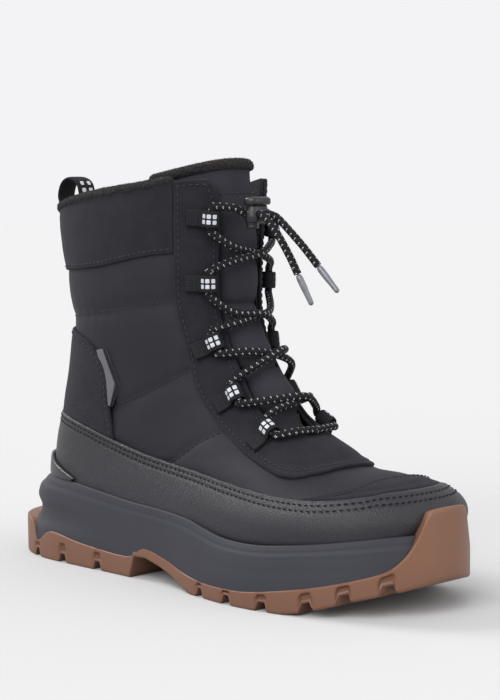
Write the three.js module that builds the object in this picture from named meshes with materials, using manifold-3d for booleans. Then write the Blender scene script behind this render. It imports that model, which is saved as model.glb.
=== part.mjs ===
// Right winter boot: a lace-up ankle boot on a foam midsole and a rubber outsole.
// Millimetres. +X runs from heel to toe, +Z is up, and the outer side of the foot is at -Y.
import * as THREE from "three";
import { mergeVertices } from "three/addons/utils/BufferGeometryUtils.js";
import Module from "manifold-3d";

const wasm = await Module();
wasm.setup();

// Driving sizes of the boot
const SOLE_LENGTH = 290; // outsole, heel to toe
const BALL_WIDTH = 112; // outsole, across the ball
const SOLE_HEIGHT = 40; // ground to the foam cup's edge at the waist
const INSTEP_HEIGHT = 112; // ground to the instep
const SHAFT_HEIGHT = 190; // ground to the collar's edge at the back

// Wall sizes and the pieces laid on the wall
const UPPER_WALL = 2.6; // padded nylon wall
const RAND_THICK = 1.8; // coated rand, outer face above the nylon
const OVERLAY_THICK = 1.3; // eyestay, cuff and counter, outer face above the nylon
const CLEARANCE = 0.3; // between pieces that touch
const TONGUE_THICK = 5.5; // padded tongue
const TONGUE_GAP = 1.1; // tongue to the upper's lining
const TONGUE_LEAN = 2.8; // how far the tongue's top leans back
const TONGUE_RISE = 6.4; // how far its padding swells out through the throat
const INSOLE_THICK = 5;
const PLUG_REACH = 0.9; // foam plug under the insole stays this far below the lining
const GROOVE_DEPTH = 4.5; // tread
const CLIP_THICK = 2.6; // heel clip

// Pull loop and its strap
const STRAP_WIDTH = 12;
const STRAP_THICK = 1.8;

// Cord lock
const LOCK_WIDTH = 14; // across the boot
const LOCK_DEPTH = 8.5; // front to back
const LOCK_HEIGHT = 9; // body, without its button
const LOCK_BUTTON = 4; // height of the button
const AGLET_LENGTH = 17;

// Lacing
const LACE_DIAMETER = 4.4;
const LOOP_LENGTH = 8.6; // width of the webbing, along the lace
const LOOP_BORE = 5.4; // lace hole in a loop

// Heights are levels: 0 the ground, 1 the cup's edge, 2 the instep, 3 the collar's edge.
const LEVELS = [0, SOLE_HEIGHT, INSTEP_HEIGHT, SHAFT_HEIGHT];

function height(level) {
  const floor = Math.min(Math.max(Math.floor(level), 0), LEVELS.length - 2);
  return LEVELS[floor] + (level - floor) * (LEVELS[floor + 1] - LEVELS[floor]);
}

// Each section of the last spans from a back or bottom point to a front or top point of the side view.
// x in shares of the sole's length, heights as levels, half widths and swing (towards the inner side)
// in shares of the ball width. widest is where along the span the section is widest; low and high are
// the roundness exponents towards each end (2 is an ellipse, more is boxier).
const SECTIONS = [
  { backX: 0.075, back: 3.49, frontX: 0.56, front: 3.561, outer: 0.345, inner: 0.345, swing: 0, widest: 0.5, low: 2.2, high: 2.3 },
  { backX: 0.093, back: 3, frontX: 0.549, front: 3.2, outer: 0.34, inner: 0.34, swing: 0, widest: 0.5, low: 2.2, high: 2.3 },
  { backX: 0.11, back: 2.62, frontX: 0.536, front: 2.756, outer: 0.335, inner: 0.335, swing: 0, widest: 0.5, low: 2.2, high: 2.3 },
  { backX: 0.126, back: 2.26, frontX: 0.534, front: 2.376, outer: 0.325, inner: 0.325, swing: 0, widest: 0.49, low: 2.2, high: 2.3 },
  { backX: 0.118, back: 1.9, frontX: 0.553, front: 2.193, outer: 0.318, inner: 0.318, swing: 0, widest: 0.47, low: 2.3, high: 2.2 },
  { backX: 0.096, back: 1.53, frontX: 0.576, front: 2.097, outer: 0.315, inner: 0.313, swing: 0, widest: 0.44, low: 2.4, high: 2.1 },
  { backX: 0.084, back: 1.21, frontX: 0.602, front: 1.982, outer: 0.318, inner: 0.313, swing: 0, widest: 0.42, low: 2.6, high: 2.1 },
  { backX: 0.09, back: 0.95, frontX: 0.623, front: 1.87, outer: 0.325, inner: 0.316, swing: 0, widest: 0.4, low: 2.8, high: 2.1 },
  { backX: 0.152, back: 0.75, frontX: 0.646, front: 1.762, outer: 0.337, inner: 0.32, swing: 0, widest: 0.36, low: 3, high: 2.1 },
  { backX: 0.272, back: 0.7, frontX: 0.666, front: 1.662, outer: 0.352, inner: 0.326, swing: 0, widest: 0.33, low: 3.2, high: 2.1 },
  { backX: 0.403, back: 0.65, frontX: 0.695, front: 1.566, outer: 0.375, inner: 0.342, swing: 0, widest: 0.33, low: 3.4, high: 2.1 },
  { backX: 0.535, back: 0.6, frontX: 0.737, front: 1.473, outer: 0.405, inner: 0.37, swing: 0, widest: 0.34, low: 3.4, high: 2.1 },
  { backX: 0.682, back: 0.56, frontX: 0.785, front: 1.354, outer: 0.435, inner: 0.405, swing: 0, widest: 0.36, low: 3.4, high: 2.2 },
  { backX: 0.798, back: 0.6, frontX: 0.85, front: 1.32, outer: 0.42, inner: 0.415, swing: 0.01, widest: 0.38, low: 3.2, high: 2.3 },
  { backX: 0.884, back: 0.68, frontX: 0.913, front: 1.271, outer: 0.35, inner: 0.35, swing: 0.02, widest: 0.42, low: 3, high: 2.4 },
  { backX: 0.936, back: 0.8, frontX: 0.954, front: 1.19, outer: 0.25, inner: 0.25, swing: 0.04, widest: 0.46, low: 2.6, high: 2.4 },
  { backX: 0.97, back: 1, frontX: 0.977, front: 1.095, outer: 0.09, inner: 0.1, swing: 0.05, widest: 0.5, low: 2.2, high: 2.2 },
];

// Outline of the sole from above, and of the foam cup's edge above it, in shares of the sole's length
// and of the ball width.
const OUTLINE = [
  { along: 0, across: 0, cupAlong: 0.069, cupAcross: 0 },
  { along: 0.014, across: -0.18, cupAlong: 0.071, cupAcross: -0.1 },
  { along: 0.055, across: -0.295, cupAlong: 0.082, cupAcross: -0.185 },
  { along: 0.13, across: -0.362, cupAlong: 0.134, cupAcross: -0.297 },
  { along: 0.24, across: -0.38, cupAlong: 0.24, cupAcross: -0.358 },
  { along: 0.36, across: -0.388, cupAlong: 0.36, cupAcross: -0.38 },
  { along: 0.48, across: -0.415, cupAlong: 0.48, cupAcross: -0.406 },
  { along: 0.59, across: -0.468, cupAlong: 0.592, cupAcross: -0.441 },
  { along: 0.68, across: -0.5, cupAlong: 0.681, cupAcross: -0.463 },
  { along: 0.77, across: -0.49, cupAlong: 0.768, cupAcross: -0.46 },
  { along: 0.855, across: -0.432, cupAlong: 0.852, cupAcross: -0.409 },
  { along: 0.92, across: -0.335, cupAlong: 0.916, cupAcross: -0.32 },
  { along: 0.968, across: -0.195, cupAlong: 0.96, cupAcross: -0.184 },
  { along: 0.997, across: -0.03, cupAlong: 0.983, cupAcross: -0.025 },
  { along: 0.995, across: 0.12, cupAlong: 0.981, cupAcross: 0.11 },
  { along: 0.965, across: 0.27, cupAlong: 0.952, cupAcross: 0.25 },
  { along: 0.91, across: 0.39, cupAlong: 0.903, cupAcross: 0.37 },
  { along: 0.83, across: 0.47, cupAlong: 0.829, cupAcross: 0.45 },
  { along: 0.74, across: 0.5, cupAlong: 0.74, cupAcross: 0.447 },
  { along: 0.64, across: 0.468, cupAlong: 0.643, cupAcross: 0.42 },
  { along: 0.52, across: 0.4, cupAlong: 0.521, cupAcross: 0.388 },
  { along: 0.4, across: 0.367, cupAlong: 0.4, cupAcross: 0.36 },
  { along: 0.28, across: 0.36, cupAlong: 0.28, cupAcross: 0.349 },
  { along: 0.17, across: 0.355, cupAlong: 0.172, cupAcross: 0.317 },
  { along: 0.075, across: 0.3, cupAlong: 0.091, cupAcross: 0.208 },
  { along: 0.02, across: 0.18, cupAlong: 0.071, cupAcross: 0.1 },
];

// Outline tables in the side view: along in shares of the sole's length, heights as levels.

// The collar's edge from the back to the eyestay's top
const COLLAR_EDGE = [
  { along: -0.041, level: 2.96 },
  { along: 0.097, level: 3.002 },
  { along: 0.183, level: 3.056 },
  { along: 0.302, level: 3.122 },
  { along: 0.407, level: 3.167 },
  { along: 0.472, level: 3.205 },
  { along: 0.517, level: 3.218 },
  { along: 0.586, level: 3.224 },
];

// Lower edge of the suede cuff
const CUFF_EDGE = [
  { along: -0.041, level: 2.564 },
  { along: 0.097, level: 2.583 },
  { along: 0.186, level: 2.606 },
  { along: 0.293, level: 2.638 },
  { along: 0.407, level: 2.713 },
  { along: 0.483, level: 2.744 },
];

// Outer edge of the eyestay, from the collar down and forwards to its front point
const EYESTAY_EDGE = [
  { along: 0.472, level: 3.641 },
  { along: 0.472, level: 3.205 },
  { along: 0.468, level: 2.815 },
  { along: 0.466, level: 2.419 },
  { along: 0.483, level: 2.145 },
  { along: 0.507, level: 1.847 },
  { along: 0.558, level: 1.618 },
  { along: 0.625, level: 1.451 },
  { along: 0.713, level: 1.328 },
  { along: 0.752, level: 1.303 },
  { along: 0.772, level: 1.319 },
  { along: 0.79, level: 1.361 },
  { along: 0.803, level: 1.583 },
];

// Upper and front edge of the heel counter
const COUNTER_EDGE = [
  { along: -0.041, level: 2.205 },
  { along: 0.103, level: 2.205 },
  { along: 0.188, level: 2.173 },
  { along: 0.248, level: 2.115 },
  { along: 0.286, level: 2.013 },
  { along: 0.303, level: 1.889 },
  { along: 0.309, level: 1.681 },
  { along: 0.324, level: 1.417 },
];

// Top edge of the rand
const RAND_EDGE = [
  { along: -0.041, level: 1.583 },
  { along: 0.069, level: 1.583 },
  { along: 0.132, level: 1.567 },
  { along: 0.218, level: 1.521 },
  { along: 0.317, level: 1.431 },
  { along: 0.419, level: 1.347 },
  { along: 0.556, level: 1.278 },
  { along: 0.665, level: 1.225 },
  { along: 0.759, level: 1.194 },
  { along: 0.84, level: 1.194 },
  { along: 0.906, level: 1.226 },
  { along: 0.928, level: 1.244 },
  { along: 1.034, level: 1.257 },
];

// Top edge of the foam cup
const CUP_EDGE = [
  { along: -0.041, level: 1.076 },
  { along: 0.103, level: 1.076 },
  { along: 0.222, level: 1.058 },
  { along: 0.376, level: 1 },
  { along: 0.465, level: 0.97 },
  { along: 0.551, level: 0.925 },
  { along: 0.607, level: 0.838 },
  { along: 0.661, level: 0.775 },
  { along: 0.736, level: 0.77 },
  { along: 0.82, level: 0.832 },
  { along: 0.92, level: 0.932 },
  { along: 0.959, level: 0.963 },
  { along: 1.041, level: 0.975 },
];

// Rear edge of the toe patch
const TOE_PATCH_EDGE = [
  { along: 0.779, level: 1.153 },
  { along: 0.802, level: 1.194 },
  { along: 0.856, level: 1.256 },
  { along: 0.874, level: 1.306 },
  { along: 0.879, level: 1.486 },
];

// Top edge of the rubber outsole, with its notches and the toe bumper
const GUM_EDGE = [
  { along: -0.041, level: 0.55 },
  { along: 0.034, level: 0.525 },
  { along: 0.084, level: 0.475 },
  { along: 0.106, level: 0.225 },
  { along: 0.155, level: 0.4 },
  { along: 0.247, level: 0.325 },
  { along: 0.38, level: 0.275 },
  { along: 0.432, level: 0.425 },
  { along: 0.5, level: 0.35 },
  { along: 0.548, level: 0.263 },
  { along: 0.611, level: 0.2 },
  { along: 0.691, level: 0.2 },
  { along: 0.738, level: 0.225 },
  { along: 0.835, level: 0.338 },
  { along: 0.896, level: 0.438 },
  { along: 0.946, level: 0.55 },
  { along: 0.966, level: 0.675 },
  { along: 0.979, level: 0.875 },
  { along: 0.987, level: 1.069 },
  { along: 0.991, level: 1.132 },
  { along: 0.994, level: 1.153 },
  { along: 1.007, level: 1.167 },
  { along: 1.048, level: 1.167 },
];

// Underside of the rubber, with the bevelled heel, the arch and the toe spring
const GROUND_EDGE = [
  { along: -0.041, level: 0.2 },
  { along: 0, level: 0.113 },
  { along: 0.028, level: 0.03 },
  { along: 0.059, level: 0 },
  { along: 0.388, level: 0 },
  { along: 0.402, level: 0.287 },
  { along: 0.434, level: 0.3 },
  { along: 0.476, level: 0.237 },
  { along: 0.519, level: 0.15 },
  { along: 0.552, level: 0.05 },
  { along: 0.572, level: 0 },
  { along: 0.8, level: 0 },
  { along: 0.838, level: 0.05 },
  { along: 0.876, level: 0.13 },
  { along: 0.917, level: 0.225 },
  { along: 0.962, level: 0.312 },
  { along: 0.986, level: 0.375 },
  { along: 1.007, level: 0.45 },
  { along: 1.048, level: 0.55 },
];

// Cross grooves of the tread: where they cross the outer and the inner edge, in shares of the length.
const GROOVES = [
  { outer: 0.1, inner: 0.115, wide: 0.018 },
  { outer: 0.187, inner: 0.175, wide: 0.02 },
  { outer: 0.29, inner: 0.275, wide: 0.02 },
  { outer: 0.595, inner: 0.62, wide: 0.018 },
  { outer: 0.668, inner: 0.69, wide: 0.02 },
  { outer: 0.748, inner: 0.762, wide: 0.022 },
  { outer: 0.832, inner: 0.832, wide: 0.022 },
  { outer: 0.893, inner: 0.893, wide: 0.02 },
  { outer: 0.95, inner: 0.95, wide: 0.018 },
];

// How far the foam's side has gone from the sole's outline to the cup's edge, by the share of its height.
const FOAM_SIDE = [
  { up: 0, heel: 0.02, fore: 0.04 },
  { up: 0.2, heel: 0.1, fore: 0.06 },
  { up: 0.36, heel: 0.46, fore: 0.12 },
  { up: 0.5, heel: 0.52, fore: 0.22 },
  { up: 0.64, heel: 0.4, fore: 0.3 },
  { up: 0.8, heel: 0.5, fore: 0.5 },
  { up: 0.93, heel: 0.78, fore: 0.8 },
  { up: 1, heel: 1, fore: 1 },
];

// Top edge of the heel clip, a ledge round the back of the heel.
const CLIP_EDGE = [
  { along: -0.04, level: 1.24 },
  { along: 0.095, level: 1.24 },
  { along: 0.125, level: 1.2 },
  { along: 0.17, level: 1.15 },
  { along: 0.222, level: 1.09 },
  { along: 0.25, level: 1.06 },
  { along: 1.04, level: 1.06 },
];

// Edges of the throat between the eyestays, from the front line, in shares of the ball width, down the sections.
const THROAT = [
  { at: 0, outer: 0.3, inner: 0.3 },
  { at: 0.72, outer: 0.25, inner: 0.25 },
  { at: 0.85, outer: 0.195, inner: 0.21 },
  { at: 1.1, outer: 0.155, inner: 0.18 },
  { at: 1.5, outer: 0.13, inner: 0.167 },
  { at: 2.8, outer: 0.122, inner: 0.163 },
  { at: 4, outer: 0.115, inner: 0.155 },
  { at: 6, outer: 0.127, inner: 0.15 },
  { at: 7.5, outer: 0.132, inner: 0.142 },
  { at: 8.8, outer: 0.135, inner: 0.137 },
  { at: 9.6, outer: 0.11, inner: 0.11 },
  { at: 10.1, outer: 0.02, inner: 0.02 },
];

// Half turn of the tongue either side of the front line, down the sections.
const TONGUE = [
  { at: 0.72, half: 0.215 },
  { at: 1, half: 0.21 },
  { at: 2, half: 0.185 },
  { at: 3, half: 0.165 },
  { at: 5, half: 0.15 },
  { at: 8, half: 0.135 },
  { at: 11, half: 0.12 },
];

// Lace loops, outer and inner row: the section they sit on, and the turn from the front line.
const LOOPS = [
  { outerAt: 9.75, innerAt: 9.7, outerTurn: 0.082, innerTurn: 0.083 },
  { outerAt: 7.1, innerAt: 7, outerTurn: 0.09, innerTurn: 0.114 },
  { outerAt: 4.3, innerAt: 4.2, outerTurn: 0.092, innerTurn: 0.13 },
  { outerAt: 2.5, innerAt: 2.5, outerTurn: 0.086, innerTurn: 0.13 },
  { outerAt: 1.5, innerAt: 1.66, outerTurn: 0.086, innerTurn: 0.11 },
];

// A smooth value between the rows of a table, at a place counted in rows.
function between(rows, at, column, closed = false) {
  const count = rows.length;
  const pick = (i) => rows[closed ? (i + count) % count : Math.min(Math.max(i, 0), count - 1)][column];
  const i = closed ? Math.floor(at) : Math.min(Math.max(Math.floor(at), 0), count - 2);
  const t = at - i;
  const [a, b, c, d] = [pick(i - 1), pick(i), pick(i + 1), pick(i + 2)];
  return b + 0.5 * t * (c - a + t * (2 * a - 5 * b + 4 * c - d + t * (3 * (b - c) + d - a)));
}

// A straight-line reading of a table by one of its own columns.
function reading(rows, key, value, column) {
  let i = 0;
  while (i < rows.length - 2 && value > rows[i + 1][key]) i++;
  const [low, high] = [rows[i], rows[i + 1]];
  const share = Math.min(Math.max((value - low[key]) / (high[key] - low[key]), 0), 1);
  return low[column] + share * (high[column] - low[column]);
}

// A point of the last's skin. turn is 0 at the back or bottom, a quarter at the outer side and a half at
// the front or top; at counts the sections.
function skin(at, turn) {
  const row = (column) => between(SECTIONS, at, column);
  const angle = turn * 2 * Math.PI;
  const [c, s] = [Math.cos(angle), Math.sin(angle)];
  const high = c < 0;
  const power = 2 / row(high ? "high" : "low");
  const widest = row("widest");
  const reach = Math.abs(c) ** power;
  const span = high ? widest + (1 - widest) * reach : widest - widest * reach;
  const half = row(s > 0 ? "outer" : "inner") * BALL_WIDTH;
  const [backX, frontX] = [row("backX") * SOLE_LENGTH, row("frontX") * SOLE_LENGTH];
  const [backZ, frontZ] = [height(row("back")), height(row("front"))];
  return new THREE.Vector3(
    backX + (frontX - backX) * span,
    row("swing") * BALL_WIDTH - Math.sign(s) * half * Math.abs(s) ** power,
    backZ + (frontZ - backZ) * span,
  );
}

function skinNormal(at, turn) {
  const step = 0.02;
  const low = Math.max(at - step, 0);
  const high = Math.min(at + step, SECTIONS.length - 1);
  const down = skin(high, turn).sub(skin(low, turn));
  const round = skin(at, turn + 0.004).sub(skin(at, turn - 0.004));
  return down.cross(round).normalize();
}

function offsetSkin(at, turn, out) {
  return skin(at, turn).addScaledVector(skinNormal(at, turn), out);
}

// The turn from the front line at which the skin is half wide.
function turnOfHalf(at, half) {
  const row = (column) => between(SECTIONS, at, column);
  const share = Math.min(half / row("outer"), 1);
  return Math.asin(share ** (row("high") / 2)) / (2 * Math.PI);
}

// A closed mesh of points and triangles as a solid, turned the right way out.
function solidOf(points, triangles) {
  const make = (list) =>
    new wasm.Manifold(
      new wasm.Mesh({
        numProp: 3,
        vertProperties: new Float32Array(points.flatMap((p) => [p.x, p.y, p.z])),
        triVerts: new Uint32Array(list.flat()),
      }),
    );
  const made = make(triangles);
  return made.volume() > 0 ? made : make(triangles.map(([a, b, c]) => [a, c, b]));
}

// A solid from rings of points with the same count, closed at both ends to the middle of the end ring.
function ringsSolid(rings) {
  const count = rings[0].length;
  const points = rings.flat();
  const triangles = [];
  for (let r = 0; r + 1 < rings.length; r++)
    for (let i = 0; i < count; i++) {
      const [a, b] = [r * count + i, r * count + ((i + 1) % count)];
      triangles.push([a, b, b + count], [a, b + count, a + count]);
    }
  for (const [r, flip] of [[0, true], [rings.length - 1, false]]) {
    const middle = rings[r].reduce((sum, p) => sum.add(p), new THREE.Vector3()).divideScalar(count);
    points.push(middle);
    for (let i = 0; i < count; i++) {
      const [a, b] = [r * count + i, r * count + ((i + 1) % count)];
      triangles.push(flip ? [points.length - 1, b, a] : [points.length - 1, a, b]);
    }
  }
  return solidOf(points, triangles);
}

// A solid between two sheets given as grids of points of the same size.
function sheetSolid(inner, outer) {
  const [rows, columns] = [inner.length, inner[0].length];
  const points = [...inner.flat(), ...outer.flat()];
  const half = rows * columns;
  const triangles = [];
  const quad = (a, b, c, d) => triangles.push([a, b, c], [a, c, d]);
  for (let r = 0; r + 1 < rows; r++)
    for (let c = 0; c + 1 < columns; c++) {
      const a = r * columns + c;
      quad(a, a + 1, a + columns + 1, a + columns);
      quad(half + a, half + a + columns, half + a + columns + 1, half + a + 1);
    }
  for (let r = 0; r + 1 < rows; r++) {
    const a = r * columns;
    const b = a + columns - 1;
    quad(a, a + columns, half + a + columns, half + a);
    quad(b, half + b, half + b + columns, b + columns);
  }
  for (let c = 0; c + 1 < columns; c++) {
    const a = c;
    const b = (rows - 1) * columns + c;
    quad(a, half + a, half + a + 1, a + 1);
    quad(b, b + 1, half + b + 1, half + b);
  }
  return solidOf(points, triangles);
}

// A patch of the last's skin between two offsets. place gives the section and turn for shares across and down.
function patch(place, rows, columns, low, high) {
  const sheet = (out) =>
    Array.from({ length: rows + 1 }, (_, r) =>
      Array.from({ length: columns + 1 }, (_, c) => {
        const [at, turn] = place(r / rows, c / columns);
        const reach = typeof out === "function" ? out(r / rows, c / columns) : out;
        return offsetSkin(at, turn, reach);
      }),
    );
  return sheetSolid(sheet(low), sheet(high));
}

// A three.js geometry as a solid.
function solidFrom(geometry) {
  const bare = geometry.index ? geometry.toNonIndexed() : geometry.clone();
  bare.deleteAttribute("normal");
  bare.deleteAttribute("uv");
  const merged = mergeVertices(bare, 1e-4);
  const position = merged.attributes.position;
  const points = [];
  for (let i = 0; i < position.count; i++) points.push(new THREE.Vector3().fromBufferAttribute(position, i));
  const triangles = [];
  for (let i = 0; i < merged.index.count; i += 3)
    triangles.push([merged.index.getX(i), merged.index.getX(i + 1), merged.index.getX(i + 2)]);
  return solidOf(points, triangles);
}

// A side-view polygon of [x, z] corners, run straight across the boot.
function sidePrism(corners, halfWidth = BALL_WIDTH) {
  const shape = new THREE.Shape(corners.map(([x, z]) => new THREE.Vector2(x, z)));
  const geometry = new THREE.ExtrudeGeometry(shape, { depth: 2 * halfWidth, bevelEnabled: false });
  geometry.rotateX(Math.PI / 2);
  geometry.translate(0, halfWidth, 0);
  return solidFrom(geometry);
}

// A side-view table as [x, z] corners, moved by gap to the left of its run.
function sideLine(rows, gap = 0) {
  const line = rows.map((row) => [row.along * SOLE_LENGTH, height(row.level)]);
  if (gap === 0) return line;
  return line.map(([x, z], i) => {
    const before = line[Math.max(i - 1, 0)];
    const after = line[Math.min(i + 1, line.length - 1)];
    const [dx, dz] = [after[0] - before[0], after[1] - before[1]];
    const long = Math.hypot(dx, dz);
    return [x - (dz / long) * gap, z + (dx / long) * gap];
  });
}

// Everything below, or above, a side-view line that runs from heel to toe.
const LOW = -40;
const HIGH = height(5);
const below = (line) => sidePrism([...line, [line.at(-1)[0], LOW], [line[0][0], LOW]]);
const above = (line) => sidePrism([...line, [line.at(-1)[0], HIGH], [line[0][0], HIGH]]);

const RINGS = 19; // sections meshed along the last
const TURNS = 22; // points meshed round each section

// The last's whole form, grown outwards by out. Shrunk forms stop short of the toe's last section.
function lastForm(out) {
  const rings = [];
  const end = SECTIONS.length - 1 - (out < 0 ? 0.4 : 0);
  for (let r = 0; r <= RINGS; r++) {
    const at = (r / RINGS) * end;
    rings.push(Array.from({ length: TURNS }, (_, i) => offsetSkin(at, i / TURNS, out)));
  }
  return ringsSolid(rings);
}

const OUTLINE_POINTS = 38;

// A point of the sole's outline at height z, drawn towards the cup's edge by its share.
function outlinePoint(i, share, z, inset = 0) {
  const at = (i / OUTLINE_POINTS) * OUTLINE.length;
  const read = (a, x, y) =>
    new THREE.Vector3(between(OUTLINE, a, x, true) * SOLE_LENGTH, between(OUTLINE, a, y, true) * BALL_WIDTH, 0);
  const point = read(at, "along", "across").lerp(read(at, "cupAlong", "cupAcross"), share);
  if (inset) {
    const along = read(at + 0.02, "along", "across").sub(read(at - 0.02, "along", "across")).normalize();
    point.add(new THREE.Vector3(-along.y, along.x, 0).multiplyScalar(inset));
  }
  return point.setZ(z);
}

// A column over the sole's outline. levels lists [height, inset].
function outlineColumn(levels) {
  return ringsSolid(
    levels.map(([z, inset]) => Array.from({ length: OUTLINE_POINTS }, (_, i) => outlinePoint(i, 0, z, inset))),
  );
}

const group = new THREE.Group();

function add(name, solid, colour, roughness) {
  const mesh = solid.getMesh();
  const geometry = new THREE.BufferGeometry();
  geometry.setAttribute("position", new THREE.BufferAttribute(new Float32Array(mesh.vertProperties), 3));
  geometry.setIndex(new THREE.BufferAttribute(new Uint32Array(mesh.triVerts), 1));
  const made = new THREE.Mesh(geometry, new THREE.MeshStandardMaterial({ color: colour, roughness, metalness: 0 }));
  made.name = name;
  group.add(made);
}

// Colours
const NYLON = 0x2c2c30;
const SUEDE = 0x26272d;
const LEATHER = 0x2f3036;
const FOAM = 0x33343c;
const GUM = 0x9a6f5c;
const FELT = 0x4a4a50;
const WEBBING = 0x1b1b1d;
const CORD = 0x1d1d1f;
const PLASTIC = 0x2a2a30;
const LABEL = 0x8d8e92;
const SLEEVE = 0xb9bcc0;

// Forms and cutters shared by the pieces
const form = lastForm(0);
const lining = lastForm(-UPPER_WALL);
const overForm = lastForm(CLEARANCE);
const overlay = lastForm(OVERLAY_THICK).subtract(overForm);
const collarTop = above(sideLine(COLLAR_EDGE));
const THROAT_END = THROAT.at(-1).at;
const throatPlace = (grow) => (down, across) => {
  const at = down * (THROAT_END + grow * 0.1);
  const edge = reading(THROAT, "at", at, across < 0.5 ? "outer" : "inner") + grow * 0.003;
  return [at, 0.5 + (2 * across - 1) * turnOfHalf(at, edge)];
};
const throat = patch(throatPlace(0), 26, 4, -9, 9);

// The opening underneath, in turns either side of the bottom line
const OPENING = 0.15;
const openingPlace = (spare) => (down, across) => {
  const at = 7.75 + 0.02 * spare + down * (6.9 - 0.04 * spare);
  const round = Math.sqrt(Math.max(1 - (2 * down - 1) ** 6, 0.16));
  return [at, (2 * across - 1) * (OPENING - 0.0016 * spare) * round];
};
const opening = patch(openingPlace(0), 12, 6, -7, 7);

// Upper: one hollow nylon wall, open at the collar, the throat and under the foot
const wall = form.subtract(lining).subtract(collarTop).subtract(throat).subtract(opening);
add("upper", wall, NYLON, 0.75);

// Rand: the coated leather wall round the foot, from inside the foam cup to its stitched top edge
const randTop = sideLine(RAND_EDGE);
const randFoot = sideLine(CUP_EDGE).map(([x, z]) => [x, z - 6]);
const randBand = below(randTop).subtract(below(randFoot));
add("rand", lastForm(RAND_THICK).subtract(overForm).intersect(randBand), LEATHER, 0.5);

// Overlays above the rand
const aboveRand = above(sideLine(RAND_EDGE, CLEARANCE));
const eyestayEnds = [[SOLE_LENGTH, HIGH], [SOLE_LENGTH / 2, HIGH]];
const eyestayShape = (gap) => sidePrism([...sideLine(EYESTAY_EDGE, gap), ...eyestayEnds]);
const counterShape = (gap) => below(sideLine(COUNTER_EDGE, gap));
const eyestay = overlay.intersect(eyestayShape(0)).subtract(throat).subtract(collarTop).intersect(aboveRand);
add("eyestay", eyestay, SUEDE, 0.95);
const besideEyestay = overlay.subtract(eyestayShape(-CLEARANCE)).intersect(aboveRand);
const cuffLine = sideLine(CUFF_EDGE);
add("cuff", besideEyestay.intersect(above(cuffLine)).subtract(collarTop), SUEDE, 0.95);
add("heel_counter", besideEyestay.intersect(counterShape(0)), SUEDE, 0.95);
const toeCorners = [...sideLine(TOE_PATCH_EDGE), [1.1 * SOLE_LENGTH, HIGH], [1.1 * SOLE_LENGTH, LOW]];
add("toe_patch", overlay.intersect(sidePrism(toeCorners)).intersect(aboveRand), SUEDE, 0.95);

// Side tag: a woven label sewn along the counter's front edge
const tagCorners = [[0.279, 2.07], [0.297, 2.085], [0.337, 1.83], [0.318, 1.66], [0.3, 1.68], [0.295, 1.9]];
const outerHalf = sidePrism([[0, LOW], [SOLE_LENGTH, LOW], [SOLE_LENGTH, HIGH], [0, HIGH]]);
const tagSide = sidePrism(tagCorners.map(([along, level]) => [along * SOLE_LENGTH, height(level)]));
const tagShape = tagSide.intersect(outerHalf.translate([0, -BALL_WIDTH, 0]));
add("side_tag", besideEyestay.intersect(tagShape).subtract(counterShape(CLEARANCE)), LABEL, 0.8);

// Insole: lies in the lining's floor
const FLOOR = SECTIONS.slice(7).map((row) => [row.backX * SOLE_LENGTH, height(row.back) + UPPER_WALL]);
const floorEnds = [[-10, FLOOR[0][1] + 2], ...FLOOR, [SOLE_LENGTH + 20, FLOOR.at(-1)[1]]];
const floorLine = floorEnds.map(([x, z]) => [x, z + INSOLE_THICK]);
const insoleFront = SOLE_LENGTH - 13;
const liningFace = lastForm(-UPPER_WALL - 2 * CLEARANCE);
const insoleSide = sidePrism([[0, LOW], [insoleFront, LOW], [insoleFront, HIGH], [0, HIGH]]);
add("insole", liningFace.intersect(below(floorLine)).intersect(insoleSide), FELT, 0.95);

// Tongue: a padded shell under the throat, swelling out through it and standing above the collar
const tonguePlace = (down, across) => {
  const side = 2 * across - 1;
  const top = TONGUE[0].at + 0.1 * side * side;
  const at = top + down * (TONGUE.at(-1).at - top);
  const edge = turnOfHalf(at, reading(THROAT, "at", at, side < 0 ? "outer" : "inner"));
  const half = Math.max(reading(TONGUE, "at", at, "half"), edge + 0.02);
  const flap = Math.max(2 * Math.abs(side) - 1, 0);
  return [at, 0.5 + Math.sign(side) * (Math.min(2 * Math.abs(side), 1) * edge + flap * (half - edge))];
};
const tongueRise = (down, across) => {
  const [at] = tonguePlace(down, across);
  const along = THREE.MathUtils.smoothstep(at, 0.9, 2.2) * (1 - THREE.MathUtils.smoothstep(at, 8.1, 9.35));
  return TONGUE_RISE * along * Math.max(1 - (2 * (2 * across - 1)) ** 2, 0) ** 0.6;
};
const tongueLean = (down) => TONGUE_LEAN * (1 - THREE.MathUtils.smoothstep(down, 0, 0.14));
const tongueBack = (down) => -UPPER_WALL - TONGUE_GAP - tongueLean(down) - TONGUE_THICK;
const tongueFace = (down, across) => tongueBack(down) + TONGUE_THICK + tongueRise(down, across);
add("tongue", patch(tonguePlace, 14, 12, tongueBack, tongueFace), SUEDE, 0.9);

// Midsole: a foam cup from the rubber up to its edge round the rand, with a plug that fills the opening
const gumLine = sideLine(GUM_EDGE);
const cupHeight = (x) => reading(CUP_EDGE, "along", x / SOLE_LENGTH, "level");
const foamRings = FOAM_SIDE.map(({ up, heel, fore }) =>
  Array.from({ length: OUTLINE_POINTS }, (_, i) => {
    const x = outlinePoint(i, 0.5, 0).x;
    const forward = THREE.MathUtils.smoothstep(x / SOLE_LENGTH, 0.2, 0.5);
    const share = heel + (fore - heel) * forward;
    const point = outlinePoint(i, share, 0, 0.4);
    const foot = Math.max(reading(GUM_EDGE, "along", point.x / SOLE_LENGTH, "level"), 0) * SOLE_HEIGHT;
    const low = THREE.MathUtils.lerp(0.15 * SOLE_HEIGHT, Math.min(foot, 0.35 * SOLE_HEIGHT), 0.4);
    return point.setZ(low + up * (height(cupHeight(point.x)) - low));
  }),
);
const rubberTop = below(sideLine(GUM_EDGE, CLEARANCE));
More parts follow.
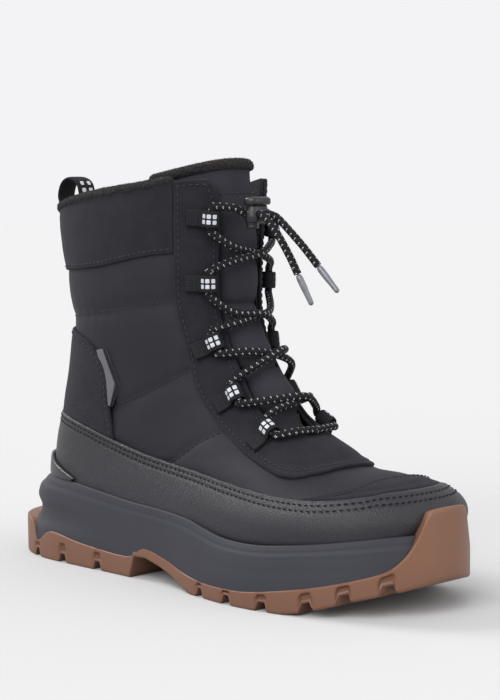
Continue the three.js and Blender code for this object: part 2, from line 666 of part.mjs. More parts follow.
const randSpace = lastForm(RAND_THICK + CLEARANCE).intersect(above(randFoot.map(([x, z]) => [x, z - CLEARANCE])));
const plug = patch(openingPlace(3), 10, 4, -UPPER_WALL + PLUG_REACH, 3.4).subtract(randSpace);
const foam = ringsSolid(foamRings).subtract(rubberTop).subtract(overForm).subtract(randSpace).add(plug);
add("midsole", foam, FOAM, 0.8);

// Outsole: rubber between the ground line and its notched top edge, with grooves and a toe bumper
const block = outlineColumn([[-2, 1.4], [2, 0.4], [7, 0], [60, 0]]);
const groundBelow = below(sideLine(GROUND_EDGE));
let rubber = block.intersect(below(gumLine)).subtract(groundBelow);
rubber = rubber.subtract(lastForm(RAND_THICK + CLEARANCE));
const groundAt = (along) => reading(GROUND_EDGE, "along", along, "level") * SOLE_HEIGHT;
for (const { outer, inner, wide } of GROOVES) {
  const middle = (outer + inner) / 2;
  const corners = [
    [outer, -0.6],
    [outer + wide, -0.6],
    [middle + wide, -0.1],
    [middle + wide, 0.1],
    [inner + wide, 0.6],
    [inner, 0.6],
    [middle - 0.012, 0],
  ];
  const shape = new THREE.Shape(corners.map(([x, y]) => new THREE.Vector2(x * SOLE_LENGTH, y * BALL_WIDTH)));
  const geometry = new THREE.ExtrudeGeometry(shape, { depth: GROOVE_DEPTH + 10, bevelEnabled: false });
  geometry.translate(0, 0, groundAt(middle) - 10);
  rubber = rubber.subtract(solidFrom(geometry));
}
add("outsole", rubber, GUM, 0.55);

// Heel clip: a ledge round the back of the heel, standing on the foam cup, with a flared lip
const clipPlace = (down, across) => [4.9 + 2.6 * down, (2 * across - 1) * 0.21];
const clipFace = RAND_THICK + 1.5 * CLEARANCE;
const clipOut = (down, across) => {
  const rise = 1 - THREE.MathUtils.smoothstep(down, 0.1, 0.42);
  const spread = Math.max(1 - (2 * across - 1) ** 2, 0);
  return clipFace + CLIP_THICK * (0.35 + 0.65 * spread ** 0.5) + 2.6 * rise * spread ** 2;
};
const clipBand = below(sideLine(CLIP_EDGE)).subtract(below(sideLine(CUP_EDGE, CLEARANCE)));
add("heel_clip", patch(clipPlace, 6, 10, clipFace, clipOut).intersect(clipBand), PLASTIC, 0.5);

// A flat band of a given thickness along a path of [x, z] points, run across the boot
function band(points, thick, wide) {
  const route = points.map(([x, z]) => new THREE.Vector3(x, 0, z));
  const curve = new THREE.CatmullRomCurve3(route, false, "centripetal");
  const steps = points.length * 2;
  const [left, right] = [[], []];
  for (let i = 0; i <= steps; i++) {
    const p = curve.getPoint(i / steps);
    const d = curve.getTangent(i / steps);
    const long = Math.hypot(d.x, d.z);
    left.push([p.x - (d.z / long) * (thick / 2), p.z + (d.x / long) * (thick / 2)]);
    right.unshift([p.x + (d.z / long) * (thick / 2), p.z - (d.x / long) * (thick / 2)]);
  }
  return sidePrism([...left, ...right], wide / 2);
}

// Pull loop: webbing sewn down the back and folded over the collar into its lining
const backOf = (at, out) => {
  const p = offsetSkin(at, 0, out);
  return [p.x, p.z];
};
const strapOut = OVERLAY_THICK + CLEARANCE + STRAP_THICK / 2;
const strapIn = -UPPER_WALL - CLEARANCE - STRAP_THICK / 2 - 1.5; // the webbing lies flat in the round lining
const collarBack = 0.093 * SOLE_LENGTH;
const loopTop = [[-8, 10], [-12, 17], [-9.5, 24.5], [-3.5, 27.5], [3.5, 25], [6.2, 18], [6.6, 11]];
add(
  "pull_loop",
  band(
    [
      ...[2.42, 2.1, 1.7, 1.35, 1.1].map((at) => backOf(at, strapOut)),
      ...loopTop.map(([x, z]) => [collarBack + x, SHAFT_HEIGHT - 9 + z]),
      ...[1.15, 1.45, 1.7].map((at) => backOf(at, strapIn)),
    ],
    STRAP_THICK,
    STRAP_WIDTH,
  ),
  WEBBING,
  0.9,
);

// Lace loops: folded webbing sewn on the eyestay, with a bore for the lace
const BORE_OUT = OVERLAY_THICK + CLEARANCE + 1.2 + LOOP_BORE / 2;
function loopFrame(at, turn) {
  const origin = skin(at, turn);
  const normal = skinNormal(at, turn);
  const down = skin(at + 0.1, turn).sub(skin(at - 0.1, turn));
  down.addScaledVector(normal, -down.dot(normal)).normalize();
  const inwards = new THREE.Vector3().crossVectors(normal, down);
  if (inwards.y * origin.y > 0) inwards.negate();
  const bore = origin.clone().addScaledVector(inwards, 3.5).addScaledVector(normal, BORE_OUT);
  return { origin, normal, down, inwards, bore };
}
const loopSides = [
  { side: "lateral", way: -1, row: "outerAt", turn: "outerTurn", tail: 9 },
  { side: "medial", way: 1, row: "innerAt", turn: "innerTurn", tail: 4 },
];
const frames = { lateral: [], medial: [] };
for (const { side, way, row, turn, tail } of loopSides)
  LOOPS.forEach((loop, i) => {
    const frame = loopFrame(loop[row], 0.5 + way * loop[turn]);
    frames[side].push(frame);
    const foot = OVERLAY_THICK + CLEARANCE;
    const top = BORE_OUT + LOOP_BORE / 2 + 1.2;
    const radius = LOOP_BORE / 2 + 1.2;
    const shape = new THREE.Shape();
    shape.moveTo(-tail, foot);
    shape.lineTo(3.5, foot);
    shape.absarc(3.5, BORE_OUT, radius, -Math.PI / 2, Math.PI / 2, false);
    shape.lineTo(2, top - 0.3);
    shape.lineTo(-1.8, foot + 1.9);
    shape.lineTo(-tail, foot + 1.5);
    shape.closePath();
    const hole = new THREE.Path();
    hole.absarc(3.5, BORE_OUT, LOOP_BORE / 2, 0, 2 * Math.PI, true);
    shape.holes.push(hole);
    const geometry = new THREE.ExtrudeGeometry(shape, { depth: LOOP_LENGTH, curveSegments: 3, bevelEnabled: false });
    geometry.translate(0, 0, -LOOP_LENGTH / 2);
    const hand = new THREE.Vector3().crossVectors(frame.inwards, frame.normal);
    const basis = new THREE.Matrix4().makeBasis(frame.inwards, frame.normal, hand).setPosition(frame.origin);
    geometry.applyMatrix4(basis);
    add(`lace_loop_${side}_${i + 1}`, solidFrom(geometry), WEBBING, 0.85);
  });

// A round cord along a smooth path
function cord(points, diameter, sides, steps) {
  const curve = new THREE.CatmullRomCurve3(points, false, "centripetal");
  const rings = [];
  let across = new THREE.Vector3(0.3, 0.2, 0.9);
  for (let i = 0; i <= steps; i++) {
    const p = curve.getPoint(i / steps);
    const t = curve.getTangent(i / steps).normalize();
    across = across.clone().addScaledVector(t, -across.dot(t)).normalize();
    const other = new THREE.Vector3().crossVectors(t, across);
    rings.push(
      Array.from({ length: sides }, (_, k) => {
        const a = (k / sides) * 2 * Math.PI;
        return p
          .clone()
          .addScaledVector(across, (Math.cos(a) * diameter) / 2)
          .addScaledVector(other, (Math.sin(a) * diameter) / 2);
      }),
    );
  }
  return ringsSolid(rings);
}

// Cord lock: it hangs on the lace in front of the tongue, with two bores front to back
const lockMiddle = new THREE.Vector3(0.593 * SOLE_LENGTH, -6, SHAFT_HEIGHT - 1);
const lockFront = lockMiddle.x + LOCK_DEPTH / 2;
const lockBack = lockMiddle.x - LOCK_DEPTH / 2;
const bores = { lateral: -8.9, medial: -3.1 };
function stadium(wide, deep) {
  const radius = deep / 2;
  const reach = wide / 2 - radius;
  const shape = new THREE.Shape();
  shape.absarc(0, reach, radius, 0, Math.PI, false);
  shape.absarc(0, -reach, radius, Math.PI, 2 * Math.PI, false);
  shape.closePath();
  return shape;
}
const bodyShape = new THREE.ExtrudeGeometry(stadium(LOCK_WIDTH, LOCK_DEPTH), {
  depth: LOCK_HEIGHT - 2,
  bevelThickness: 1,
  bevelSize: 1,
  bevelOffset: -1,
  bevelSegments: 1,
  curveSegments: 4,
});
bodyShape.translate(lockMiddle.x, lockMiddle.y, lockMiddle.z - LOCK_HEIGHT / 2 + 1);
const barrelShape = new THREE.CylinderGeometry(LOCK_DEPTH / 2 - 0.6, LOCK_DEPTH / 2 - 1.2, LOCK_HEIGHT, 12);
barrelShape.rotateX(Math.PI / 2);
barrelShape.translate(lockMiddle.x, lockMiddle.y - LOCK_WIDTH / 2 + LOCK_DEPTH / 2 - 0.6, lockMiddle.z - 2.6);
let lockBody = solidFrom(bodyShape).add(solidFrom(barrelShape));
for (const y of Object.values(bores)) {
  const bore = new THREE.CylinderGeometry(2.7, 2.7, LOCK_DEPTH + 6, 8);
  bore.rotateZ(Math.PI / 2);
  bore.translate(lockMiddle.x, y, lockMiddle.z);
  lockBody = lockBody.subtract(solidFrom(bore));
}
add("cord_lock_body", lockBody, PLASTIC, 0.4);
const buttonShape = new THREE.ExtrudeGeometry(stadium(LOCK_WIDTH + 1.5, LOCK_DEPTH + 1), {
  depth: LOCK_BUTTON - 2,
  bevelThickness: 1,
  bevelSize: 1,
  bevelOffset: -1,
  bevelSegments: 1,
  curveSegments: 4,
});
buttonShape.translate(lockMiddle.x, lockMiddle.y, lockMiddle.z + LOCK_HEIGHT / 2 + CLEARANCE + 1);
add("cord_lock_button", solidFrom(buttonShape), PLASTIC, 0.4);

// Lace: from the bar across the lowest loops, up through the loops row by row, into the cord lock
function laceRun(first) {
  const other = { lateral: "medial", medial: "lateral" };
  const way = { lateral: -1, medial: 1 };
  const points = [];
  const through = (frame) => {
    for (const reach of [6.4, 5, -5, -6.4]) points.push(frame.bore.clone().addScaledVector(frame.down, reach));
  };
  const barAt = (LOOPS[0].outerAt + LOOPS[0].innerAt) / 2 + 0.62;
  points.push(offsetSkin(barAt, 0.5 - way[first] * 0.012, 3.6));
  points.push(offsetSkin(barAt, 0.5 + way[first] * 0.04, 5.4));
  let side = first;
  LOOPS.forEach((row, i) => {
    through(frames[side][i]);
    if (i === LOOPS.length - 1) return;
    const next = LOOPS[i + 1];
    const middle = (row.outerAt + row.innerAt + next.outerAt + next.innerAt) / 4;
    const span = (row.outerAt - next.outerAt) / 8;
    const centre = 0.5 + (row.innerTurn + next.innerTurn - row.outerTurn - next.outerTurn) / 8;
    points.push(offsetSkin(middle + span, centre + way[side] * 0.046, 6.4));
    points.push(offsetSkin(middle, centre, TONGUE_RISE + (first === "lateral" ? -0.4 : 3.1)));
    points.push(offsetSkin(middle - span, centre - way[side] * 0.046, 6.4));
    side = other[side];
  });
  const y = bores[side];
  points.push(new THREE.Vector3(lockBack - 4.4, y + way[side] * 5.4, lockMiddle.z + 3.4));
  points.push(new THREE.Vector3(lockBack - 1.2, y + way[side] * 0.3, lockMiddle.z + 0.2));
  points.push(new THREE.Vector3(lockBack + 1, y, lockMiddle.z));
  points.push(new THREE.Vector3(lockFront - CLEARANCE, y, lockMiddle.z));
  return cord(points, LACE_DIAMETER, 6, Math.round(points.length * 1.35));
}
add("lace", laceRun("lateral").add(laceRun("medial")), CORD, 0.9);

// Free lace ends with their aglets, from the cord lock's front face
const ENDS = {
  lateral: [[0.3, 0, 0], [1.8, 0, -0.1], [6, 0.5, -3], [12.5, 1.6, -11.5], [18, 3.2, -21], [22, 4.6, -29.5]],
  medial: [[0.3, 0, 0], [1.8, 0, -0.1], [6.5, 0.6, -1.8], [14.5, 2, -9], [22, 4, -17], [29, 6, -25.5]],
};
for (const [side, route] of Object.entries(ENDS)) {
  const points = route.map(([x, y, z]) => new THREE.Vector3(lockFront + x, bores[side] + y, lockMiddle.z + z));
  add(`lace_end_${side}`, cord(points, LACE_DIAMETER, 6, 10), CORD, 0.9);
  const along = points.at(-1).clone().sub(points.at(-2)).normalize();
  const foot = points.at(-1).clone().addScaledVector(along, CLEARANCE);
  const tip = foot.clone().addScaledVector(along, AGLET_LENGTH);
  add(`aglet_${side}`, cord([foot, foot.clone().lerp(tip, 0.5), tip], LACE_DIAMETER * 0.86, 8, 2), SLEEVE, 0.3);
}

group.position.set(-SOLE_LENGTH / 2, 0, 0);

export default group;
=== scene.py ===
"""A right winter boot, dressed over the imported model: padded nylon and suede upper, coated rand,
foam midsole, lugged rubber outsole, webbing lace loops, braided lace and cord lock."""
import math

import bmesh
import bpy
import numpy as np
from mathutils import Matrix, Vector


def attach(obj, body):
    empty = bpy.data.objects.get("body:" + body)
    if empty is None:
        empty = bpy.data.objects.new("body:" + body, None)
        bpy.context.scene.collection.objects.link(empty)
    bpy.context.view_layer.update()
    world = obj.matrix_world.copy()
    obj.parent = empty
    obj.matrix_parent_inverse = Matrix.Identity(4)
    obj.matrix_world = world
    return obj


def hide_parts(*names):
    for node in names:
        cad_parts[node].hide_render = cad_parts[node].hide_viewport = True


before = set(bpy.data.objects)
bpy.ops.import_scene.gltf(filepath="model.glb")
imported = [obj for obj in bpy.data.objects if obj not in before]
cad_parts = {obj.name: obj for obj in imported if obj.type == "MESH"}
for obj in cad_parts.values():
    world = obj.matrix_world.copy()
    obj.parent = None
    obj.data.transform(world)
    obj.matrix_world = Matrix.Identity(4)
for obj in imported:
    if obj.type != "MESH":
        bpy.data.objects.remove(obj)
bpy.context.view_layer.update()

bl_info = {
    "name": "Winter Boot",
    "version": (1, 0, 0),
    "blender": (4, 5, 0),
    "location": "View3D > Sidebar > Boot",
    "description": "Builds the pieces of a lace-up winter boot",
    "category": "Add Mesh",
}

# Sizes in millimetres, in the last's own frame: x from the heel, z from the ground, outer side at -y
SOLE_LENGTH = 290.0
BALL_WIDTH = 112.0
LEVELS = (0.0, 40.0, 112.0, 190.0)
UPPER_WALL = 2.6
RAND_THICK = 1.8
OVERLAY_THICK = 1.3
CLEARANCE = 0.3
TONGUE_THICK = 5.5
TONGUE_FACE = -UPPER_WALL - 1.1
TONGUE_LEAN = 2.8
TONGUE_RISE = 6.4
GROOVE_DEPTH = 4.5
LOOP_LENGTH = 8.6
LOOP_BORE = 5.4
AGLET_LENGTH = 17.0
STRAP_WIDTH = 12.0
STRAP_THICK = 1.8
MM = 0.001

# Sections of the last: back or bottom point and front or top point in the side view (x in shares of
# the length, heights as levels), half widths, swing, where it is widest, roundness low and high
BACK_X, BACK, FRONT_X, FRONT, OUTER, INNER, SWING, WIDEST, LOW, HIGH = range(10)
SECTIONS = np.array([
    (0.075, 3.49, 0.56, 3.561, 0.345, 0.345, 0, 0.5, 2.2, 2.3),
    (0.093, 3, 0.549, 3.2, 0.34, 0.34, 0, 0.5, 2.2, 2.3),
    (0.11, 2.62, 0.536, 2.756, 0.335, 0.335, 0, 0.5, 2.2, 2.3),
    (0.126, 2.26, 0.534, 2.376, 0.325, 0.325, 0, 0.49, 2.2, 2.3),
    (0.118, 1.9, 0.553, 2.193, 0.318, 0.318, 0, 0.47, 2.3, 2.2),
    (0.096, 1.53, 0.576, 2.097, 0.315, 0.313, 0, 0.44, 2.4, 2.1),
    (0.084, 1.21, 0.602, 1.982, 0.318, 0.313, 0, 0.42, 2.6, 2.1),
    (0.09, 0.95, 0.623, 1.87, 0.325, 0.316, 0, 0.4, 2.8, 2.1),
    (0.152, 0.75, 0.646, 1.762, 0.337, 0.32, 0, 0.36, 3, 2.1),
    (0.272, 0.7, 0.666, 1.662, 0.352, 0.326, 0, 0.33, 3.2, 2.1),
    (0.403, 0.65, 0.695, 1.566, 0.375, 0.342, 0, 0.33, 3.4, 2.1),
    (0.535, 0.6, 0.737, 1.473, 0.405, 0.37, 0, 0.34, 3.4, 2.1),
    (0.682, 0.56, 0.785, 1.354, 0.435, 0.405, 0, 0.36, 3.4, 2.2),
    (0.798, 0.6, 0.85, 1.32, 0.42, 0.415, 0.01, 0.38, 3.2, 2.3),
    (0.884, 0.68, 0.913, 1.271, 0.35, 0.35, 0.02, 0.42, 3, 2.4),
    (0.936, 0.8, 0.954, 1.19, 0.25, 0.25, 0.04, 0.46, 2.6, 2.4),
    (0.97, 1, 0.977, 1.095, 0.09, 0.1, 0.05, 0.5, 2.2, 2.2),
])
LAST_ROW = len(SECTIONS) - 1.0

# Outline of the sole from above (along, across) and of the foam cup's edge (along, across)
OUTLINE = np.array([
    (0, 0, 0.069, 0), (0.014, -0.18, 0.071, -0.1), (0.055, -0.295, 0.082, -0.185),
    (0.13, -0.362, 0.134, -0.297), (0.24, -0.38, 0.24, -0.358), (0.36, -0.388, 0.36, -0.38),
    (0.48, -0.415, 0.48, -0.406), (0.59, -0.468, 0.592, -0.441), (0.68, -0.5, 0.681, -0.463),
    (0.77, -0.49, 0.768, -0.46), (0.855, -0.432, 0.852, -0.409), (0.92, -0.335, 0.916, -0.32),
    (0.968, -0.195, 0.96, -0.184), (0.997, -0.03, 0.983, -0.025), (0.995, 0.12, 0.981, 0.11),
    (0.965, 0.27, 0.952, 0.25), (0.91, 0.39, 0.903, 0.37), (0.83, 0.47, 0.829, 0.45),
    (0.74, 0.5, 0.74, 0.447), (0.64, 0.468, 0.643, 0.42), (0.52, 0.4, 0.521, 0.388),
    (0.4, 0.367, 0.4, 0.36), (0.28, 0.36, 0.28, 0.349), (0.17, 0.355, 0.172, 0.317),
    (0.075, 0.3, 0.091, 0.208), (0.02, 0.18, 0.071, 0.1),
])

# Side lines (along in shares of the length, height as a level)
COLLAR_EDGE = [(-0.041, 2.96), (0.097, 3.002), (0.183, 3.056), (0.302, 3.122), (0.407, 3.167),
               (0.472, 3.205), (0.517, 3.218), (0.586, 3.224)]
CUFF_EDGE = [(-0.041, 2.564), (0.097, 2.583), (0.186, 2.606), (0.293, 2.638), (0.407, 2.713),
             (0.483, 2.744), (0.6, 2.8)]
EYESTAY_EDGE = [(0.472, 3.641), (0.472, 3.205), (0.468, 2.815), (0.466, 2.419), (0.483, 2.145),
                (0.507, 1.847), (0.558, 1.618), (0.625, 1.451), (0.713, 1.328), (0.752, 1.303),
                (0.772, 1.319), (0.79, 1.361), (0.803, 1.583)]
COUNTER_EDGE = [(-0.041, 2.205), (0.103, 2.205), (0.188, 2.173), (0.248, 2.115), (0.286, 2.013),
                (0.303, 1.889), (0.309, 1.681), (0.324, 1.417)]
RAND_EDGE = [(-0.041, 1.583), (0.069, 1.583), (0.132, 1.567), (0.218, 1.521), (0.317, 1.431),
             (0.419, 1.347), (0.556, 1.278), (0.665, 1.225), (0.759, 1.194), (0.84, 1.194),
             (0.906, 1.226), (0.928, 1.244), (1.034, 1.257)]
CUP_EDGE = [(-0.041, 1.076), (0.103, 1.076), (0.222, 1.058), (0.376, 1), (0.465, 0.97),
            (0.551, 0.925), (0.607, 0.838), (0.661, 0.775), (0.736, 0.77), (0.82, 0.832),
            (0.92, 0.932), (0.959, 0.963), (1.041, 0.975)]
TOE_PATCH_EDGE = [(0.779, 1.153), (0.802, 1.194), (0.856, 1.256), (0.874, 1.306), (0.879, 1.486)]
GUM_EDGE = [(-0.041, 0.55), (0.034, 0.525), (0.084, 0.475), (0.106, 0.225), (0.155, 0.4),
            (0.247, 0.325), (0.38, 0.275), (0.432, 0.425), (0.5, 0.35), (0.548, 0.263),
            (0.611, 0.2), (0.691, 0.2), (0.738, 0.225), (0.835, 0.338), (0.896, 0.438),
            (0.946, 0.55), (0.966, 0.675), (0.979, 0.875), (0.987, 1.069), (0.991, 1.132),
            (0.994, 1.153), (1.007, 1.167), (1.048, 1.167)]
GROUND_EDGE = [(-0.041, 0.2), (0, 0.113), (0.028, 0.03), (0.059, 0), (0.388, 0), (0.402, 0.287),
               (0.434, 0.3), (0.476, 0.237), (0.519, 0.15), (0.552, 0.05), (0.572, 0), (0.8, 0),
               (0.838, 0.05), (0.876, 0.13), (0.917, 0.225), (0.962, 0.312), (0.986, 0.375),
               (1.007, 0.45), (1.048, 0.55)]
CLIP_EDGE = [(-0.04, 1.24), (0.095, 1.24), (0.125, 1.2), (0.17, 1.15), (0.222, 1.09),
             (0.25, 1.06), (1.04, 1.06)]
# Cross grooves of the tread (outer edge, inner edge, width)
GROOVES = [(0.1, 0.115, 0.018), (0.187, 0.175, 0.02), (0.29, 0.275, 0.02), (0.595, 0.62, 0.018),
           (0.668, 0.69, 0.02), (0.748, 0.762, 0.022), (0.832, 0.832, 0.022), (0.893, 0.893, 0.02),
           (0.95, 0.95, 0.018)]
# Side of the foam cup (share of its height, drawn in at the heel, drawn in at the forefoot)
FOAM_SIDE = np.array([(0, 0.02, 0.04), (0.2, 0.1, 0.06), (0.36, 0.46, 0.12), (0.5, 0.52, 0.22),
                      (0.64, 0.4, 0.3), (0.8, 0.5, 0.5), (0.93, 0.78, 0.8), (1, 1, 1)])
# Edges of the throat from the front line (section, outer side, inner side), and half turn of the tongue
THROAT = np.array([
    (0, 0.3, 0.3), (0.72, 0.25, 0.25), (0.85, 0.195, 0.21), (1.1, 0.155, 0.18), (1.5, 0.13, 0.167),
    (2.8, 0.122, 0.163), (4, 0.115, 0.155), (6, 0.127, 0.15), (7.5, 0.132, 0.142), (8.8, 0.135, 0.137),
    (9.6, 0.11, 0.11), (10.1, 0.02, 0.02),
])
TONGUE = [(0.72, 0.215), (1, 0.21), (2, 0.185), (3, 0.165), (5, 0.15), (8, 0.135), (11, 0.12)]
# Lace loops (section on the outer side, section on the inner side, turns from the front line)
LOOPS = [(9.75, 9.7, 0.082, 0.083), (7.1, 7, 0.09, 0.114), (4.3, 4.2, 0.092, 0.13),
         (2.5, 2.5, 0.086, 0.13), (1.5, 1.66, 0.086, 0.11)]
# Rows that the top corner of the tongue that stands clear lies lower than its middle
TONGUE_CORNER = 0.42
# Heights of the seams across the tongue, and of the stitches below its top
TONGUE_SEAMS = (166.0, 142.5, 110.5, 88.0)
TONGUE_TOP_SEAM = 199.0
# How far in from an edge its stitches lie: overlays, eyestay, throat and collar, and both rows of the rand
EDGE_STITCH = 2.2
STAY_STITCH = 2.4
THROAT_STITCH = 2.6
RAND_STITCHES = (2.4, 4.8)
# Fibres to the square metre of fleece, and the longest of them
FIBRES = 1.6e6
FIBRE_LENGTH = 0.75
# Cord lock's middle, its half depth, and the places of its two bores
LOCK_MIDDLE = np.array([0.593 * SOLE_LENGTH, -6.0, 189.0])
LOCK_FRONT = LOCK_MIDDLE[0] + 4.25
LOCK_BACK = LOCK_MIDDLE[0] - 4.25
BORES = {"lateral": -8.9, "medial": -3.1}
# Runs of the free lace ends from the cord lock
ENDS = {
    "lateral": [(0.3, 0, 0), (1.8, 0, -0.1), (6, 0.5, -3), (12.5, 1.6, -11.5), (18, 3.2, -21),
                (22, 4.6, -29.5)],
    "medial": [(0.3, 0, 0), (1.8, 0, -0.1), (6.5, 0.6, -1.8), (14.5, 2, -9), (22, 4, -17),
               (29, 6, -25.5)],
}
# The studio's light: one pale tone all round, and suns (name, direction, strength, spread)
PALE = (0.896, 0.896, 0.913)
SUNS = (("key", (0.3, -1.0, 0.8), 2.6, 0.9), ("back", (-0.85, -0.15, 0.8), 1.6, 0.3),
        ("front", (1.0, 0.25, 0.35), 0.9, 0.8))
SUN_ON_FLOOR = sum(strength * towards[2] / math.dist(towards, (0, 0, 0))
                   for _, towards, strength, _ in SUNS) / math.pi
# Quilt seams of the side panel (x, z)
QUILT_SEAMS = [[(40, 133.5), (57, 134), (101, 140), (138, 145.5)],
               [(84, 83), (91, 87), (117, 97), (146, 111)],
               [(132, 61), (141.5, 65.6), (152, 73), (166, 81)]]


# Reading tables

def height(level):
    """Millimetres above the ground of a level, straight on past the ends."""
    level = np.asarray(level, float)
    floor = np.clip(np.floor(level), 0, len(LEVELS) - 2).astype(int)
    steps = np.array(LEVELS)
    return steps[floor] + (level - floor) * (steps[floor + 1] - steps[floor])


def between(rows, at, closed=False):
    """Smooth values of every column between the rows of a table."""
    rows = np.asarray(rows, float)
    at = np.asarray(at, float)
    count = len(rows)
    low = np.floor(at).astype(int)
    if not closed:
        low = np.clip(low, 0, count - 2)
    t = (at - low)[..., None]

    def pick(i):
        return rows[i % count if closed else np.clip(i, 0, count - 1)]

    a, b, c, d = pick(low - 1), pick(low), pick(low + 1), pick(low + 2)
    return b + 0.5 * t * (c - a + t * (2 * a - 5 * b + 4 * c - d + t * (3 * (b - c) + d - a)))


def side_line(rows, fine=6):
    """A side line as smooth x, z points in millimetres, fine of them to each of its rows."""
    rows = np.array(rows, float)
    points = np.column_stack([rows[:, 0] * SOLE_LENGTH, height(rows[:, 1])])
    steps = np.linspace(0, len(points) - 1, (len(points) - 1) * fine + 1)
    return between(points, steps) if fine > 1 else points


def height_on(line, x):
    """Height of a side line that runs from heel to toe."""
    return np.interp(x, line[:, 0], line[:, 1])


def step(value, low, high):
    """A smooth step from 0 to 1."""
    t = np.clip((value - low) / (high - low), 0, 1)
    return t * t * (3 - 2 * t)


def round_over(share):
    """Height of a quarter circle at a share of its width."""
    return np.sqrt(1 - (1 - np.clip(share, 0, 1)) ** 2)


def groove(distance, deep, wide):
    """A soft trough along a line of stitches or a seam."""
    return -deep * np.exp(-(distance / wide) ** 2)


def lengths(points):
    """How far along a line each of its points lies."""
    return np.concatenate([[0], np.cumsum(np.linalg.norm(np.diff(points, axis=0), axis=1))])


def unit(vectors):
    """The same directions, each one long."""
    return vectors / np.linalg.norm(vectors, axis=-1)[..., None]


def ripple(points, scale, seed=0.0):
    """Slow unevenness between -1 and 1, the same on every run."""
    x, y, z = (np.asarray(points, float) / scale).T
    return (np.sin(1.7 * x + 1.3 * z + seed) * np.cos(1.1 * y - 0.7 * x + 2 * seed)
            + 0.6 * np.sin(2.9 * z - 1.9 * x + 2.3 * y + 3 * seed)
            + 0.4 * np.sin(4.7 * x + 3.1 * y - 4.3 * z + 5 * seed)) / 2


# The last's skin

def skin(at, turn):
    """Points of the last's skin. turn is 0 at the back or bottom, 0.25 outer side, 0.5 front or top."""
    at, turn = np.broadcast_arrays(np.asarray(at, float), np.asarray(turn, float))
    row = between(SECTIONS, np.clip(at, 0, LAST_ROW))
    c, s = np.cos(2 * np.pi * turn), np.sin(2 * np.pi * turn)
    high = c < 0
    power = 2 / np.where(high, row[..., HIGH], row[..., LOW])
    widest = row[..., WIDEST]
    reach = np.abs(c) ** power
    span = np.where(high, widest + (1 - widest) * reach, widest - widest * reach)
    half = np.where(s > 0, row[..., OUTER], row[..., INNER]) * BALL_WIDTH
    low_x, high_x = row[..., BACK_X] * SOLE_LENGTH, row[..., FRONT_X] * SOLE_LENGTH
    low_z, high_z = height(row[..., BACK]), height(row[..., FRONT])
    y = row[..., SWING] * BALL_WIDTH - np.sign(s) * half * np.abs(s) ** power
    points = np.stack([low_x + (high_x - low_x) * span, y, low_z + (high_z - low_z) * span], -1)
    past = np.clip(at - LAST_ROW, 0, 1)[..., None]
    tip = np.array([0.9745 * SOLE_LENGTH, 0.05 * BALL_WIDTH, 43.4])
    closed = tip + (points - tip) * np.sqrt(1 - past * past) + past * (1.5, 0, 0)
    return np.where(past > 0, closed, points)


def skin_normal(at, turn):
    """Outward directions of the last's skin."""
    at, turn = np.broadcast_arrays(np.asarray(at, float), np.asarray(turn, float))
    down = skin(np.minimum(at + 0.03, LAST_ROW + 0.97), turn) - skin(np.maximum(at - 0.03, 0), turn)
    around = skin(at, turn + 0.006) - skin(at, turn - 0.006)
    normal = np.cross(down, around)
    return normal / np.maximum(np.linalg.norm(normal, axis=-1), 1e-9)[..., None]


def offset_skin(at, turn, out):
    """Points that lie out millimetres off the last's skin."""
    return skin(at, turn) + skin_normal(at, turn) * np.asarray(out, float)[..., None]


def turn_of_half(at, half):
    """The turn from the front line at which the skin is half wide, half in shares of the ball width."""
    row = between(SECTIONS, at)
    share = np.minimum(half / row[..., OUTER], 1)
    return np.arcsin(share ** (row[..., HIGH] / 2)) / (2 * np.pi)


def even_turns(at, count):
    """Turns that part a section's ring into equal lengths, count for each side."""
    fine = np.concatenate([0.25 - 0.25 * np.cos(np.linspace(0, np.pi, 240)), [0.5]])
    fine = np.unique(np.concatenate([fine, 0.25 + 0.02 * np.linspace(-1, 1, 81) ** 3]))
    halves = []
    for sign in (1, -1):
        points = skin(at, fine if sign > 0 else 1 - fine)
        long = lengths(points)
        spread = np.interp(np.linspace(0, long[-1], count + 1), long, fine)
        halves.append(spread if sign > 0 else 1 - spread[::-1])
    return np.concatenate([halves[0], halves[1][1:]])


# Sheets over the skin: data holds a section and a turn for each corner

